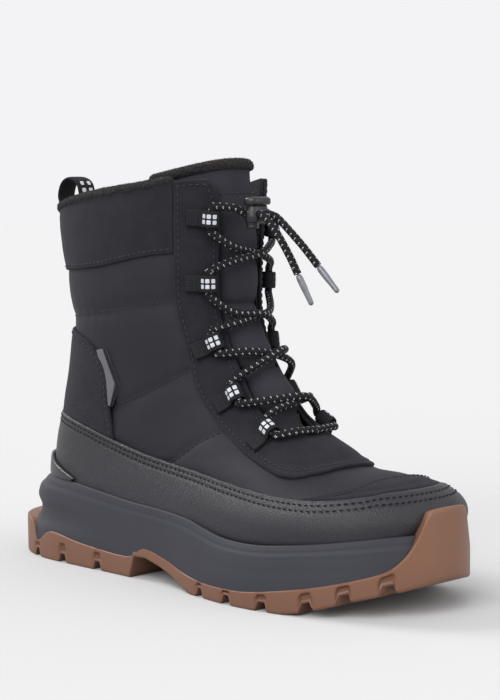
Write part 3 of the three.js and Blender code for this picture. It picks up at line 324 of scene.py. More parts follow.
class Sheet:
    """Triangles over the last's skin, cut along side lines and given a thickness."""

    def __init__(self, data, faces):
        self.data = data
        self.faces = faces
        self.lines = {}

    @classmethod
    def over(cls, low, high, rows, around):
        """All round the last from section low to section high."""
        ats = np.linspace(low, high, rows + 1)
        turns = np.array([even_turns(at, around) for at in ats])
        data = np.stack([np.repeat(ats[:, None], turns.shape[1], 1), turns], -1)
        return cls.grid(data)

    @classmethod
    def grid(cls, data):
        """Triangles between the rows and columns of a table of places."""
        rows, columns = data.shape[:2]
        a = (np.arange(rows - 1)[:, None] * columns + np.arange(columns - 1)).ravel()
        faces = np.concatenate([np.column_stack([a, a + columns, a + columns + 1]),
                                np.column_stack([a, a + columns + 1, a + 1])])
        return cls(data.reshape(-1, data.shape[2]), faces)

    @property
    def points(self):
        """Places on the last's skin in millimetres."""
        return skin(self.data[:, 0], self.data[:, 1])

    def split(self, field, level=0.0, keep_all=True, line=None):
        """Cuts the triangles where field is level. Keeps what lies above it, or both sides."""
        value = field(self) - level
        value[np.abs(value) < 1e-4] = 1e-4
        inside = value > 0
        corners = inside[self.faces]
        count = corners.sum(1)
        mixed = self.faces[(count == 1) | (count == 2)]
        flags = inside[mixed]
        single = flags.sum(1) == 1
        odd = np.where(single, flags.argmax(1), flags.argmin(1))
        rolled = np.take_along_axis(mixed, (odd[:, None] + np.arange(3)) % 3, 1)
        ends = np.sort(np.concatenate([rolled[:, [0, 1]], rolled[:, [0, 2]]]), axis=1)
        edges, where = np.unique(ends, axis=0, return_inverse=True)
        where = where.ravel()
        low, high = value[edges[:, 0]], value[edges[:, 1]]
        share = (low / (low - high))[:, None]
        added = self.data[edges[:, 0]] * (1 - share) + self.data[edges[:, 1]] * share
        first = len(self.data)
        p, q = first + where[:len(mixed)], first + where[len(mixed):]
        tip = np.column_stack([rolled[:, 0], p, q])
        rest = np.concatenate([np.column_stack([p, rolled[:, 1], rolled[:, 2]]),
                               np.column_stack([p, rolled[:, 2], q])])
        double = np.concatenate([~single, ~single])
        kept = [self.faces[count == 3], tip[single], rest[double]]
        if keep_all:
            kept += [self.faces[count == 0], tip[~single], rest[~double]]
        self.data = np.concatenate([self.data, added])
        self.faces = np.concatenate(kept)
        if line:
            self.lines[line] = self.data[np.column_stack([p, q])]
        return self

    def keep(self, *fields):
        """Leaves only what lies inside all the fields."""
        for field in fields:
            self.split(field, keep_all=False)
        return self.tidy()

    def tidy(self):
        """Drops the places that no triangle uses."""
        used, where = np.unique(self.faces, return_inverse=True)
        self.data = self.data[used]
        self.faces = where.reshape(-1, 3)
        return self

    def ring(self, fields, levels):
        """Adds cuts beside the edges so that a rounded edge has corners to bend at."""
        for level in levels:
            for field in fields:
                self.split(field, level)
        return self

    def inset(self, fields):
        """Millimetres in from the nearest edge, for each place."""
        return np.min([field(self) for field in fields], axis=0)


def chain(segments):
    """Joins loose segments, given as pairs of rows, into long lines of rows."""
    fineness = np.array([4000, 40000])
    keys = np.round(np.asarray(segments)[..., :2] * fineness).astype(int)
    links, seen = {}, {}
    for i, (a, b) in enumerate(keys):
        a, b = tuple(a), tuple(b)
        if a == b:
            continue
        seen[a], seen[b] = segments[i][0], segments[i][1]
        links.setdefault(a, []).append(b)
        links.setdefault(b, []).append(a)
    lines = []
    while links:
        start = next((k for k, v in links.items() if len(v) == 1), next(iter(links)))
        path = [start]
        while links.get(path[-1]):
            after = links[path[-1]].pop()
            links[after].remove(path[-1])
            path.append(after)
        for key in path:
            if key in links and not links[key]:
                del links[key]
        if len(path) > 3:
            lines.append(np.array([seen[k] for k in path]))
    return lines


# Fields: millimetres inside an edge, for each corner of a sheet

def distance_to(line, x, z):
    """Distance in the side view to a line of x, z points."""
    best = np.full(len(x), 1e9)
    for (ax, az), (bx, bz) in zip(line[:-1], line[1:]):
        dx, dz = bx - ax, bz - az
        long = dx * dx + dz * dz or 1e-9
        t = np.clip(((x - ax) * dx + (z - az) * dz) / long, 0, 1)
        best = np.minimum(best, np.hypot(x - ax - t * dx, z - az - t * dz))
    return best


def above(line, sign=1.0):
    """Inside is above a side line that runs from heel to toe."""

    def field(sheet):
        x, _, z = sheet.points.T
        return sign * np.where(z > height_on(line, x), 1, -1) * distance_to(line, x, z)

    return field


def below(line):
    """Inside is below a side line that runs from heel to toe."""
    return above(line, -1.0)


def region(corners, sign=1.0):
    """Inside is within a closed side-view shape."""
    corners = np.asarray(corners, float)

    def field(sheet):
        x, _, z = sheet.points.T
        inside = np.zeros(len(x), bool)
        closed = np.vstack([corners, corners[:1]])
        for (ax, az), (bx, bz) in zip(closed[:-1], closed[1:]):
            crossing = (az > z) != (bz > z)
            inside ^= crossing & (x < ax + (z - az) * (bx - ax) / (bz - az + 1e-12))
        return sign * np.where(inside, 1, -1) * distance_to(closed, x, z)

    return field


def outside(corners):
    """Inside is beyond a closed side-view shape."""
    return region(corners, -1.0)


def throat_edge(at, side):
    """How far the throat's edge is from the front line, side below nought for the outer one."""
    outer, inner = (np.interp(at, THROAT[:, 0], THROAT[:, column]) for column in (1, 2))
    return np.where(side < 0, outer, inner)


def off_throat(sheet):
    """Inside is beside the throat between the eyestays, and in front of its end."""
    row_gap, far, deepest = 12.0, 60.0, -40.0
    at = sheet.data[:, 0]
    y = sheet.points[:, 1]
    beside = np.abs(y) - throat_edge(at, y) * BALL_WIDTH
    past = (at - THROAT[-1, 0]) * row_gap
    at_back = np.abs(np.clip(sheet.data[:, 1], 0, 1) - 0.5) > 0.25
    return np.where(at_back, far, np.maximum(beside, np.maximum(past, deepest)))


COLLAR_LINE = side_line(COLLAR_EDGE)
CUFF_LINE = side_line(CUFF_EDGE)
RAND_LINE = side_line(RAND_EDGE)
CUP_LINE = side_line(CUP_EDGE)
GUM_LINE = side_line(GUM_EDGE, fine=4)
GROUND_LINE = side_line(GROUND_EDGE, fine=1)
EYESTAY_SHAPE = np.vstack([side_line(EYESTAY_EDGE), [(300, 350), (150, 350)]])
COUNTER_SHAPE = np.vstack([side_line(COUNTER_EDGE), [(94, 0), (-40, 0)]])
TOE_SHAPE = np.vstack([side_line(TOE_PATCH_EDGE), [(320, 350), (320, 0), (226, 0)]])


# Meshes

def row_frame(points):
    """Millimetres of the last to metres of the row."""
    return (np.asarray(points, float) - (SOLE_LENGTH / 2, 0, 0)) * MM


def place_object(name, data):
    """A new object at the origin, in the scene."""
    made = bpy.data.objects.new(name, data)
    bpy.context.collection.objects.link(made)
    return made


def make_mesh(name, points, faces, materials, face_material=None, uv=None):
    """A smooth closed piece from points in millimetres, welded, with its faces pointing out."""
    points = np.asarray(points, float)
    faces = [tuple(f) for f in faces]
    first = np.array([f[:3] for f in faces])
    second = np.array([(f[0], f[2], f[3]) for f in faces if len(f) == 4] or [(0, 0, 0)])
    corners = points[np.concatenate([first, second])]
    volume = np.einsum("ij,ij->i", corners[:, 0], np.cross(corners[:, 1], corners[:, 2])).sum()
    if volume < 0:
        faces = [f[::-1] for f in faces]
    mesh = bpy.data.meshes.new(name)
    mesh.from_pydata(row_frame(points).tolist(), [], faces)
    if uv is not None:
        layer = mesh.uv_layers.new(name="surface")
        index = np.empty(len(mesh.loops), int)
        mesh.loops.foreach_get("vertex_index", index)
        layer.data.foreach_set("uv", np.asarray(uv, float)[index].ravel())
    for material in materials:
        mesh.materials.append(material)
    if face_material is not None:
        mesh.polygons.foreach_set("material_index", np.asarray(face_material, int))
    work = bmesh.new()
    work.from_mesh(mesh)
    bmesh.ops.remove_doubles(work, verts=work.verts, dist=2e-6)
    bmesh.ops.dissolve_degenerate(work, edges=work.edges, dist=1e-7)
    work.to_mesh(mesh)
    work.free()
    mesh.polygons.foreach_set("use_smooth", [True] * len(mesh.polygons))
    mesh.update()
    return place_object(name, mesh)


def settle(made, slot, *nodes):
    """Puts a finished piece on the body, in the place of the solids it dresses."""
    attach(made, "root")
    if nodes:
        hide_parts(*nodes)


def shell(name, sheet, out, inn, materials, uv=None, inner_material=0):
    """A closed piece between two offsets of a sheet."""
    count = len(sheet.data)
    at, turn = sheet.data[:, 0], sheet.data[:, 1]
    normal = skin_normal(at, turn)
    base = sheet.points
    out = np.broadcast_to(np.asarray(out, float), (count,))
    inn = np.broadcast_to(np.asarray(inn, float), (count,))
    points = np.concatenate([base + normal * out[:, None], base + normal * inn[:, None]])
    faces = sheet.faces
    ends = np.concatenate([faces[:, [0, 1]], faces[:, [1, 2]], faces[:, [2, 0]]])
    ordered = np.sort(ends, axis=1)
    _, first, times = np.unique(ordered, axis=0, return_index=True, return_counts=True)
    rim = ends[first[times == 1]]
    seam = (np.abs(sheet.data[rim[:, 0], 1] % 1) < 1e-9) & (np.abs(sheet.data[rim[:, 1], 1] % 1) < 1e-9)
    if np.any(sheet.data[:, 1] < 1e-9) and np.any(sheet.data[:, 1] > 1 - 1e-9):
        rim = rim[~seam]
    walls = np.column_stack([rim[:, 1], rim[:, 0], rim[:, 0] + count, rim[:, 1] + count])
    listed = faces.tolist() + (faces[:, ::-1] + count).tolist() + walls.tolist()
    index = [0] * len(faces) + [inner_material] * (len(faces) + len(walls))
    if uv is not None:
        uv = np.concatenate([uv, uv])
    return make_mesh(name, points, listed, materials, index, uv)


def rounded(inside, thick, radius):
    """Height of a sewn piece's face by the distance from its edge."""
    cut_edge = 0.35
    return thick * (cut_edge + (1 - cut_edge) * round_over(inside / radius))


def rings_mesh(name, rings, materials, uv=None):
    """A closed piece lofted through rings of points with the same count."""
    rings = np.asarray(rings, float)
    rows, count = rings.shape[:2]
    points = np.vstack([rings.reshape(-1, 3), rings[0].mean(0), rings[-1].mean(0)])
    a = (np.arange(rows - 1)[:, None] * count + np.arange(count)).ravel()
    b = (np.arange(rows - 1)[:, None] * count + (np.arange(count) + 1) % count).ravel()
    faces = np.column_stack([a, b, b + count, a + count]).tolist()
    low, high = len(points) - 2, len(points) - 1
    last = (rows - 1) * count
    faces += [(low, (i + 1) % count, i) for i in range(count)]
    faces += [(high, last + i, last + (i + 1) % count) for i in range(count)]
    return make_mesh(name, points, faces, materials, uv=uv)


def smooth_path(points, gap):
    """Points every gap millimetres or so along a smooth curve through the given ones."""
    points = np.asarray(points, float)
    fine = between(points, np.linspace(0, len(points) - 1, (len(points) - 1) * 24 + 1))
    long = lengths(fine)
    count = max(int(round(long[-1] / gap)), 2)
    at = np.linspace(0, long[-1], count + 1)
    return np.column_stack([np.interp(at, long, fine[:, i]) for i in range(3)]), at


def tube(name, points, radius, sides, gap, materials, round_ends=True):
    """A round cord, of one radius or of several along it, with its length and its turn as its UV map."""
    path, at = smooth_path(points, gap)
    tangent = unit(np.gradient(path, axis=0))
    across = np.array((0.3, 0.2, 0.9))
    even = np.isscalar(radius)
    if even:
        sizes = np.full(len(path), radius)
    else:
        sizes = np.interp(np.linspace(0, 1, len(path)), np.linspace(0, 1, len(radius)), radius)
    if round_ends:
        ends = np.minimum(at, at[-1] - at) / (radius if even else 1.0)
        sizes = sizes * np.maximum(round_over(ends), 0.2)
    points, uv = [], []
    a = np.linspace(0, 2 * np.pi, sides + 1)
    for p, t, r, s in zip(path, tangent, sizes, at):
        across = unit(across - t * across.dot(t))
        other = np.cross(t, across)
        points.append(p + r * (np.cos(a)[:, None] * across + np.sin(a)[:, None] * other))
        uv.append(np.column_stack([np.full(sides + 1, s), a / (2 * np.pi)]))
    points, uv = np.array(points), np.array(uv)
    rows, columns = points.shape[:2]
    a = (np.arange(rows - 1)[:, None] * columns + np.arange(columns - 1)).ravel()
    faces = np.column_stack([a, a + 1, a + columns + 1, a + columns]).tolist()
    last = (rows - 1) * columns
    flatly = np.vstack([points.reshape(-1, 3), points[0, :-1].mean(0), points[-1, :-1].mean(0)])
    low, high = len(flatly) - 2, len(flatly) - 1
    faces += [(low, i + 1, i) for i in range(sides)] + [(high, last + i, last + i + 1) for i in range(sides)]
    flat_uv = np.vstack([uv.reshape(-1, 2), uv[0, 0], uv[-1, 0]])
    return make_mesh(name, flatly, faces, materials, uv=flat_uv)


# Materials

class Value:
    """A shader socket that takes part in sums."""

    def __init__(self, tree, socket):
        self.tree, self.socket = tree, socket

    def math(self, kind, *others):
        node = self.tree.nodes.new("ShaderNodeMath")
        node.operation = kind
        for socket, given in zip(node.inputs, (self, *others)):
            connect(self.tree, given, socket)
        return Value(self.tree, node.outputs[0])

    def __add__(self, other):
        return self.math("ADD", other)

    def __sub__(self, other):
        return self.math("SUBTRACT", other)

    def __mul__(self, other):
        return self.math("MULTIPLY", other)

    def __truediv__(self, other):
        return self.math("DIVIDE", other)

    def __lt__(self, other):
        return self.math("LESS_THAN", other)

    def part(self):
        return self.math("FRACT")

    def sine(self):
        return self.math("SINE")

    def size(self):
        return self.math("ABSOLUTE")

    def clear(self):
        """Held between 0 and 1."""
        node = self.math("MAXIMUM", 0.0)
        return node.math("MINIMUM", 1.0)

    __radd__ = __add__
    __rmul__ = __mul__


def connect(tree, given, socket):
    if isinstance(given, Value):
        tree.links.new(given.socket, socket)
    else:
        socket.default_value = given


class Finish:
    """A material being built: its nodes, its colour, roughness and relief."""

    def __init__(self, name, **constants):
        self.material = bpy.data.materials.new(name)
        self.material.use_nodes = True
        self.tree = self.material.node_tree
        self.shader = next(n for n in self.tree.nodes if n.type == "BSDF_PRINCIPLED")
        for key, given in constants.items():
            self.shader.inputs[key.replace("_", " ")].default_value = given

    def node(self, kind, settings=None, output=0, **values):
        made = self.tree.nodes.new(kind)
        for key, given in (settings or {}).items():
            setattr(made, key, given)
        for key, given in values.items():
            connect(self.tree, given, made.inputs[key.replace("_", " ")])
        return Value(self.tree, made.outputs[output])

    def place(self):
        return self.node("ShaderNodeTexCoord", output="Object")

    def axis(self, vector, name):
        return self.node("ShaderNodeSeparateXYZ", output=name, Vector=vector)

    def surface(self):
        """The piece's own map: millimetres along and turns or millimetres across."""
        given = self.node("ShaderNodeUVMap", {"uv_map": "surface"})
        return self.axis(given, "X"), self.axis(given, "Y")

    def noise(self, scale, detail=3.0, rough=0.55):
        where = self.place()
        return self.node("ShaderNodeTexNoise", Vector=where, Scale=scale, Detail=detail, Roughness=rough)

    def cells(self, scale):
        return self.node("ShaderNodeTexVoronoi", Vector=self.place(), Scale=scale)

    def mix(self, share, low, high):
        made = self.tree.nodes.new("ShaderNodeMix")
        made.data_type = "RGBA"
        connect(self.tree, share, made.inputs[0])
        connect(self.tree, low, made.inputs[6])
        connect(self.tree, high, made.inputs[7])
        return Value(self.tree, made.outputs[2])

    def colour(self, given):
        connect(self.tree, given, self.shader.inputs["Base Color"])
        return self

    def roughness(self, given):
        connect(self.tree, given, self.shader.inputs["Roughness"])
        return self

    def relief(self, given, strength=0.5, distance=0.001):
        bump = self.node("ShaderNodeBump", Height=given, Strength=strength, Distance=distance)
        connect(self.tree, bump, self.shader.inputs["Normal"])
        return self.material


def tone(red, green, blue):
    """A colour from its screen values, 0 to 255."""
    return tuple(((v / 255 + 0.055) / 1.055) ** 2.4 if v > 10 else v / 255 / 12.92
                 for v in (red, green, blue)) + (1.0,)


def shade(colour, factor):
    return tuple(v * factor for v in colour[:3]) + (1.0,)


MADE = {}


def once(build):
    """Each finish is built one time and then shared."""

    def given():
        if build.__name__ not in MADE:
            MADE[build.__name__] = build()
        return MADE[build.__name__]

    return given


@once
def nylon():
    f = Finish("nylon", Specular_IOR_Level=0.13)
    base = bpy.context.scene.boot_colours.nylon
    slow, fine = f.noise(38.0), f.noise(2600.0, 2.0)
    weave = f.node("ShaderNodeTexWave", {"bands_direction": "Z"}, Vector=f.place(), Scale=900.0,
                   Distortion=1.5, Detail=1.0)
    f.colour(f.mix(slow, shade(base, 0.86), shade(base, 1.18)))
    f.roughness(0.52 + slow * 0.14)
    return f.relief(fine * 0.5 + weave * 0.5, 0.12, 0.0004)


@once
def suede():
    f = Finish("suede", Specular_IOR_Level=0.12, Sheen_Weight=0.04, Sheen_Roughness=0.5)
    base = bpy.context.scene.boot_colours.suede
    nap, grain = f.noise(120.0, 4.0), f.noise(950.0, 3.0, 0.7)
    f.colour(f.mix(nap * 0.45 + grain * 0.55, shade(base, 0.35), shade(base, 1.85)))
    f.roughness(0.86 + grain * 0.1)
    return f.relief(grain + nap * 0.25, 0.7, 0.0007)


@once
def padded_cloth():
    """Plain felted cloth of the tongue's face."""
    f = Finish("padded_cloth", Specular_IOR_Level=0.14)
    base = bpy.context.scene.boot_colours.nylon
    nap, grain = f.noise(70.0, 3.0), f.noise(1300.0, 3.0, 0.7)
    f.colour(f.mix(nap * 0.5 + grain * 0.5, shade(base, 0.85), shade(base, 2.1)))
    f.roughness(0.8 + grain * 0.1)
    return f.relief(grain, 0.35, 0.0004)


@once
def coated():
    f = Finish("coated", Specular_IOR_Level=0.46)
    base = bpy.context.scene.boot_colours.coated
    u, v = f.surface()
    wander = f.noise(60.0, 2.0) * 1.4
    one = ((u * 0.8 + v * 1.3) * 4.6 + wander * 4.0).sine()
    two = ((u * 0.8 - v * 1.3) * 4.6 + wander * 3.0).sine()
    hatch = one.math("MAXIMUM", two)
    patchy = f.noise(240.0, 3.0)
    slow = f.noise(30.0, 2.0)
    f.colour(f.mix(slow * 0.6 + hatch * 0.12, shade(base, 0.8), shade(base, 1.25)))
    f.roughness(0.36 + patchy * 0.12 + slow * 0.1)
    return f.relief(hatch * 0.8 + patchy * 0.3, 0.3, 0.0005)


@once
def foam():
    f = Finish("foam", Specular_IOR_Level=0.3)
    base = bpy.context.scene.boot_colours.foam
    slow, fine = f.noise(26.0), f.noise(1500.0, 2.0)
    f.colour(f.mix(slow, shade(base, 0.88), shade(base, 1.14)))
    f.roughness(0.58 + slow * 0.1)
    return f.relief(fine, 0.1, 0.0003)


@once
def gum():
    f = Finish("gum", Specular_IOR_Level=0.42, Subsurface_Weight=0.12, Subsurface_Scale=0.004,
               Subsurface_Radius=(1.0, 0.5, 0.3))
    base = bpy.context.scene.boot_colours.gum
    slow, fine = f.noise(30.0), f.noise(900.0, 2.0)
    # Painted shade and light: the gum is drawn darker towards the ground and lighter up its sides, where the
    # light from above falls on it
    low = f.axis(f.place(), "Z") * 60.0
    f.colour(f.mix((slow * 0.6 + low * 0.45).clear(), shade(base, 0.82), shade(base, 1.16)))
    f.roughness(0.42 + slow * 0.16)
    return f.relief(fine * 0.4 + slow, 0.12, 0.0005)


@once
def fleece():
    f = Finish("fleece", Specular_IOR_Level=0.06, Sheen_Weight=0.05, Sheen_Roughness=0.6)
    base = bpy.context.scene.boot_colours.fleece
    curl, grain = f.cells(620.0), f.noise(900.0, 4.0, 0.7)
    f.colour(f.mix(curl * 0.8 + grain * 0.4, shade(base, 0.55), shade(base, 1.5)))
    f.roughness(0.92)
    return f.relief(curl + grain, 0.9, 0.0012)


@once
def felt():
    f = Finish("felt", Specular_IOR_Level=0.1)
    grain = f.noise(1300.0, 4.0, 0.7)
    f.colour(f.mix(grain, tone(62, 62, 68), tone(96, 96, 102)))
    f.roughness(0.95)
    return f.relief(grain, 0.7, 0.0008)


@once
def webbing():
    """Black webbing. Its map gives millimetres across and along."""
    f = Finish("webbing", Specular_IOR_Level=0.2)
    u, v = f.surface()
    rib = (u * 5.2).sine() * (v * 7.5 + (u * 2.6).sine()).sine()
    grain = f.noise(1500.0, 2.0)
    f.colour(f.mix(rib * 0.25 + grain * 0.6, tone(14, 14, 16), tone(38, 38, 42)))
    f.roughness(0.85)
    return f.relief(rib + grain * 0.4, 0.5, 0.0004)


@once
def reflective():
    f = Finish("reflective", Specular_IOR_Level=0.5)
    grain, threads = f.noise(1400.0, 2.0), f.cells(2400.0)
    f.colour(f.mix(grain * 0.6 + threads * 0.4, tone(138, 140, 146), tone(206, 208, 213)))
    f.roughness(0.5)
    return f.relief(threads, 0.4, 0.0003)


@once
def braid():
    f = Finish("braid", Specular_IOR_Level=0.2)
    base = bpy.context.scene.boot_colours.cord
    u, v = f.surface()
    left, right = u / 3.2 + v * 2.0, u / 3.2 - v * 2.0
    plait = (left * 12.566).sine() * (right * 12.566).sine()
    lone, pair = left.part(), right.part()
    fleck_one = ((lone - 0.3).size() < 0.055) * ((pair - 0.3).size() < 0.13)
    fleck_two = ((lone - 0.52).size() < 0.05) * ((pair - 0.3).size() < 0.12)
    fleck = (fleck_one + fleck_two).clear()
    grain = f.noise(1700.0, 2.0)
    dark = f.mix(grain, shade(base, 0.6), shade(base, 1.5))
    f.colour(f.mix(fleck, dark, tone(196, 198, 202)))
    f.roughness(0.8)
    return f.relief(plait + grain * 0.5, 0.8, 0.0005)


@once
def plastic():
    f = Finish("plastic", Specular_IOR_Level=0.5)
    slow, fine = f.noise(120.0), f.noise(1800.0, 2.0)
    f.colour(f.mix(slow, tone(10, 10, 13), tone(17, 17, 21)))
    f.roughness(0.34 + fine * 0.1)
    return f.relief(fine, 0.06, 0.0003)


@once
def label():
    f = Finish("label", Specular_IOR_Level=0.3)
    u, v = f.surface()
    threads = (u * 9.0).sine() * (v * 9.0).sine()
    grain = f.noise(900.0, 2.0)
    f.colour(f.mix(grain * 0.6 + threads * 0.2, tone(78, 79, 84), tone(104, 105, 111)))
    f.roughness(0.7)
    return f.relief(threads + grain * 0.4, 0.4, 0.0003)


@once
def sleeve():
    f = Finish("sleeve", Specular_IOR_Level=0.6, Coat_Weight=0.4, Coat_Roughness=0.15)
    slow = f.noise(400.0, 2.0)
    f.colour(f.mix(slow, tone(62, 63, 69), tone(112, 114, 121)))
    f.roughness(0.22 + slow * 0.15)
    return f.relief(slow, 0.1, 0.0003)


def yarn(name, dark, light):
    f = Finish(name, Specular_IOR_Level=0.2)
    grain = f.noise(3000.0, 2.0)
    f.colour(f.mix(grain, dark, light))
    f.roughness(0.7)
    return f.relief(grain, 0.3, 0.0002)


@once
def thread():
    return yarn("thread", tone(27, 28, 33), tone(60, 61, 68))


@once
def dark_thread():
    return yarn("dark_thread", tone(9, 9, 11), tone(24, 24, 29))


@once
def pale_floor():
    f = Finish("pale_floor", Specular_IOR_Level=0.0)
    share = PALE[0] / (PALE[0] + SUN_ON_FLOOR)
    slow = f.noise(3.0)
    f.colour(f.mix(slow, (share * 0.996, share * 0.996, share * 0.998, 1), (share, share, share, 1)))
    f.roughness(0.9)
    return f.relief(slow, 0.02, 0.001)


# Repeats along a line and over a surface

def interface(tree, name, kind, output=False):
    """Adds an input or an output to a tree."""
    way = "OUTPUT" if output else "INPUT"
    return tree.interface.new_socket(name=name, in_out=way, socket_type=kind).identifier


class Tree:
    """A Geometry Nodes tree with named inputs."""

    def __init__(self, name, inputs):
        self.tree = bpy.data.node_groups.new(name, "GeometryNodeTree")
        interface(self.tree, "Geometry", "NodeSocketGeometry")
        self.keys = {key: interface(self.tree, key, kind) for key, kind in inputs.items()}
        interface(self.tree, "Geometry", "NodeSocketGeometry", output=True)
        self.given = self.tree.nodes.new("NodeGroupInput")
        self.result = self.tree.nodes.new("NodeGroupOutput")

    def node(self, kind, settings=None, **links):
        made = self.tree.nodes.new(kind)
        for key, value in (settings or {}).items():
            setattr(made, key, value)
        for key, value in links.items():
            by_place = key[0] == "i" and key[1:].isdigit()
            socket = made.inputs[int(key[1:]) if by_place else key.replace("_", " ")]
            if isinstance(value, bpy.types.NodeSocket):
                self.tree.links.new(value, socket)
            else:
                socket.default_value = value
        return made

    def close(self, geometry, material):
        real = self.node("GeometryNodeRealizeInstances", Geometry=geometry)
        smooth = self.node("GeometryNodeSetShadeSmooth", Geometry=real.outputs[0])
        dyed = self.node("GeometryNodeSetMaterial", Geometry=smooth.outputs[0], Material=material)
        self.tree.links.new(dyed.outputs[0], self.result.inputs[0])
        return self

    def apply(self, source, name, **values):
        """Runs the tree on an object and leaves a plain mesh object in its place."""
        modifier = source.modifiers.new("repeat", "NODES")
        modifier.node_group = self.tree
        for key, value in values.items():
            modifier[self.keys[key]] = value
        graph = bpy.context.evaluated_depsgraph_get()
        mesh = bpy.data.meshes.new_from_object(source.evaluated_get(graph), depsgraph=graph)
        bpy.data.objects.remove(source)
        mesh.name = name
        return place_object(name, mesh)


def stitch_tree():
    """A row of beads of thread along a line, lying along it and facing out of the cloth."""
    t = Tree("stitch_row", {"Pitch": "NodeSocketFloat", "Size": "NodeSocketVector",
                            "Thread": "NodeSocketMaterial", "Seed": "NodeSocketInt"})
    line = t.node("GeometryNodeMeshToCurve", Mesh=t.given.outputs["Geometry"])
    spaced = t.node("GeometryNodeResampleCurve", {"mode": "LENGTH"}, Curve=line.outputs[0],
                    Length=t.given.outputs["Pitch"])
    along = t.node("GeometryNodeInputTangent")
    facing = t.node("GeometryNodeInputNamedAttribute", {"data_type": "FLOAT_VECTOR"}, Name="facing")
    ahead = t.node("FunctionNodeAlignRotationToVector", {"axis": "X"}, Vector=along.outputs[0])
    up = t.node("FunctionNodeAlignRotationToVector", {"axis": "Z", "pivot_axis": "X"},
                Rotation=ahead.outputs[0], Vector=facing.outputs[0])
    bead = t.node("GeometryNodeMeshUVSphere", Segments=6, Rings=4, Radius=0.5)
    jitter = t.node("FunctionNodeRandomValue", {"data_type": "FLOAT"}, i2=0.9, i3=1.06,
                    Seed=t.given.outputs["Seed"])
    sized = t.node("ShaderNodeVectorMath", {"operation": "SCALE"}, i0=t.given.outputs["Size"],
                   Scale=jitter.outputs[1])
    placed = t.node("GeometryNodeInstanceOnPoints", Points=spaced.outputs[0], Instance=bead.outputs[0],
                    Rotation=up.outputs[0], Scale=sized.outputs[0])
    return t.close(placed.outputs[0], t.given.outputs["Thread"])


def fibre_tree():
    t = Tree("fibres", {"Density": "NodeSocketFloat", "Long": "NodeSocketFloat",
                        "Fibre": "NodeSocketMaterial", "Seed": "NodeSocketInt"})
    spread = t.node("GeometryNodeDistributePointsOnFaces", Mesh=t.given.outputs["Geometry"],
                    Density=t.given.outputs["Density"], Seed=t.given.outputs["Seed"])
    hair = t.node("GeometryNodeMeshCone", Vertices=3, Radius_Top=0.0, Radius_Bottom=0.16, Depth=1.0)
    lean = t.node("FunctionNodeRandomValue", {"data_type": "FLOAT_VECTOR"}, i0=(-0.9, -0.9, 0.0),
                  i1=(0.9, 0.9, 6.28), Seed=t.given.outputs["Seed"])
    turned = t.node("FunctionNodeRotateRotation", {"rotation_space": "LOCAL"},
                    Rotation=spread.outputs["Rotation"], Rotate_By=lean.outputs[0])
    long = t.node("FunctionNodeRandomValue", {"data_type": "FLOAT"}, i2=0.5, i3=1.1, Seed=7)
    size = t.node("ShaderNodeMath", {"operation": "MULTIPLY"}, i0=long.outputs[1],
                  i1=t.given.outputs["Long"])
    placed = t.node("GeometryNodeInstanceOnPoints", Points=spread.outputs["Points"],
                    Instance=hair.outputs[0], Rotation=turned.outputs[0], Scale=size.outputs[0])
    return t.close(placed.outputs[0], t.given.outputs["Fibre"])


TREES = {}


def shared_tree(build):
    """Each kind of tree is built one time and then shared."""
    if build.__name__ not in TREES:
        TREES[build.__name__] = build()
    return TREES[build.__name__]


def line_object(name, runs):
    """Loose lines in millimetres with the way that the cloth faces: runs of (points, normals)."""
    points, edges, facing = [], [], []
    for run, normals in runs:
        first = len(points)
        points += list(run)
        facing += list(normals)
        edges += [(first + i, first + i + 1) for i in range(len(run) - 1)]
    mesh = bpy.data.meshes.new(name)
    mesh.from_pydata(row_frame(points).tolist(), edges, [])
    mesh.attributes.new("facing", "FLOAT_VECTOR", "POINT").data.foreach_set(
        "vector", np.asarray(facing, float).ravel())
    return place_object(name, mesh)


def stitch(name, runs, pitch=3.4, long=2.5, thick=0.75, seed=1, finish=None):
    """Rows of thread along lines that lie on a piece."""
    source = line_object(name + "_line", runs)
    tree = shared_tree(stitch_tree)
    size = (long * MM, thick * MM, thick * 0.8 * MM)
    made = tree.apply(source, name, Pitch=pitch * MM, Size=size, Thread=finish or thread(), Seed=seed)
    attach(made, "root")
    return made


def sewn_lines(sheet, edge, inside, out, within=None):
    """Runs for stitching: inside millimetres in from an edge of a sheet, lying at a height over the skin."""
    copy = Sheet(sheet.data.copy(), sheet.faces.copy())
    copy.split(edge, inside, line="row")
    runs = []
    for line in chain(copy.lines["row"]):
        if within is not None:
            probe = Sheet(line, None)
            good = np.min([field(probe) for field in within], axis=0) > inside * 0.9
            pieces = np.split(np.arange(len(line)), np.where(np.diff(good.astype(int)) != 0)[0] + 1)
            lines = [line[p] for p in pieces if good[p[0]] and len(p) > 3]
        else:
            lines = [line]
        for part in lines:
            at, turn = part[:, 0], part[:, 1]
            lift = out(Sheet(part, None)) if callable(out) else out
            runs.append((offset_skin(at, turn, lift), skin_normal(at, turn)))
    return runs


# Upper and overlays

def seam_distance(points):
    """Millimetres from the nearest quilt seam, in side view."""
    x, _, z = points.T
    return np.min([distance_to(between(line, np.linspace(0, len(line) - 1, 25)), x, z)
                   for line in QUILT_SEAMS], axis=0)


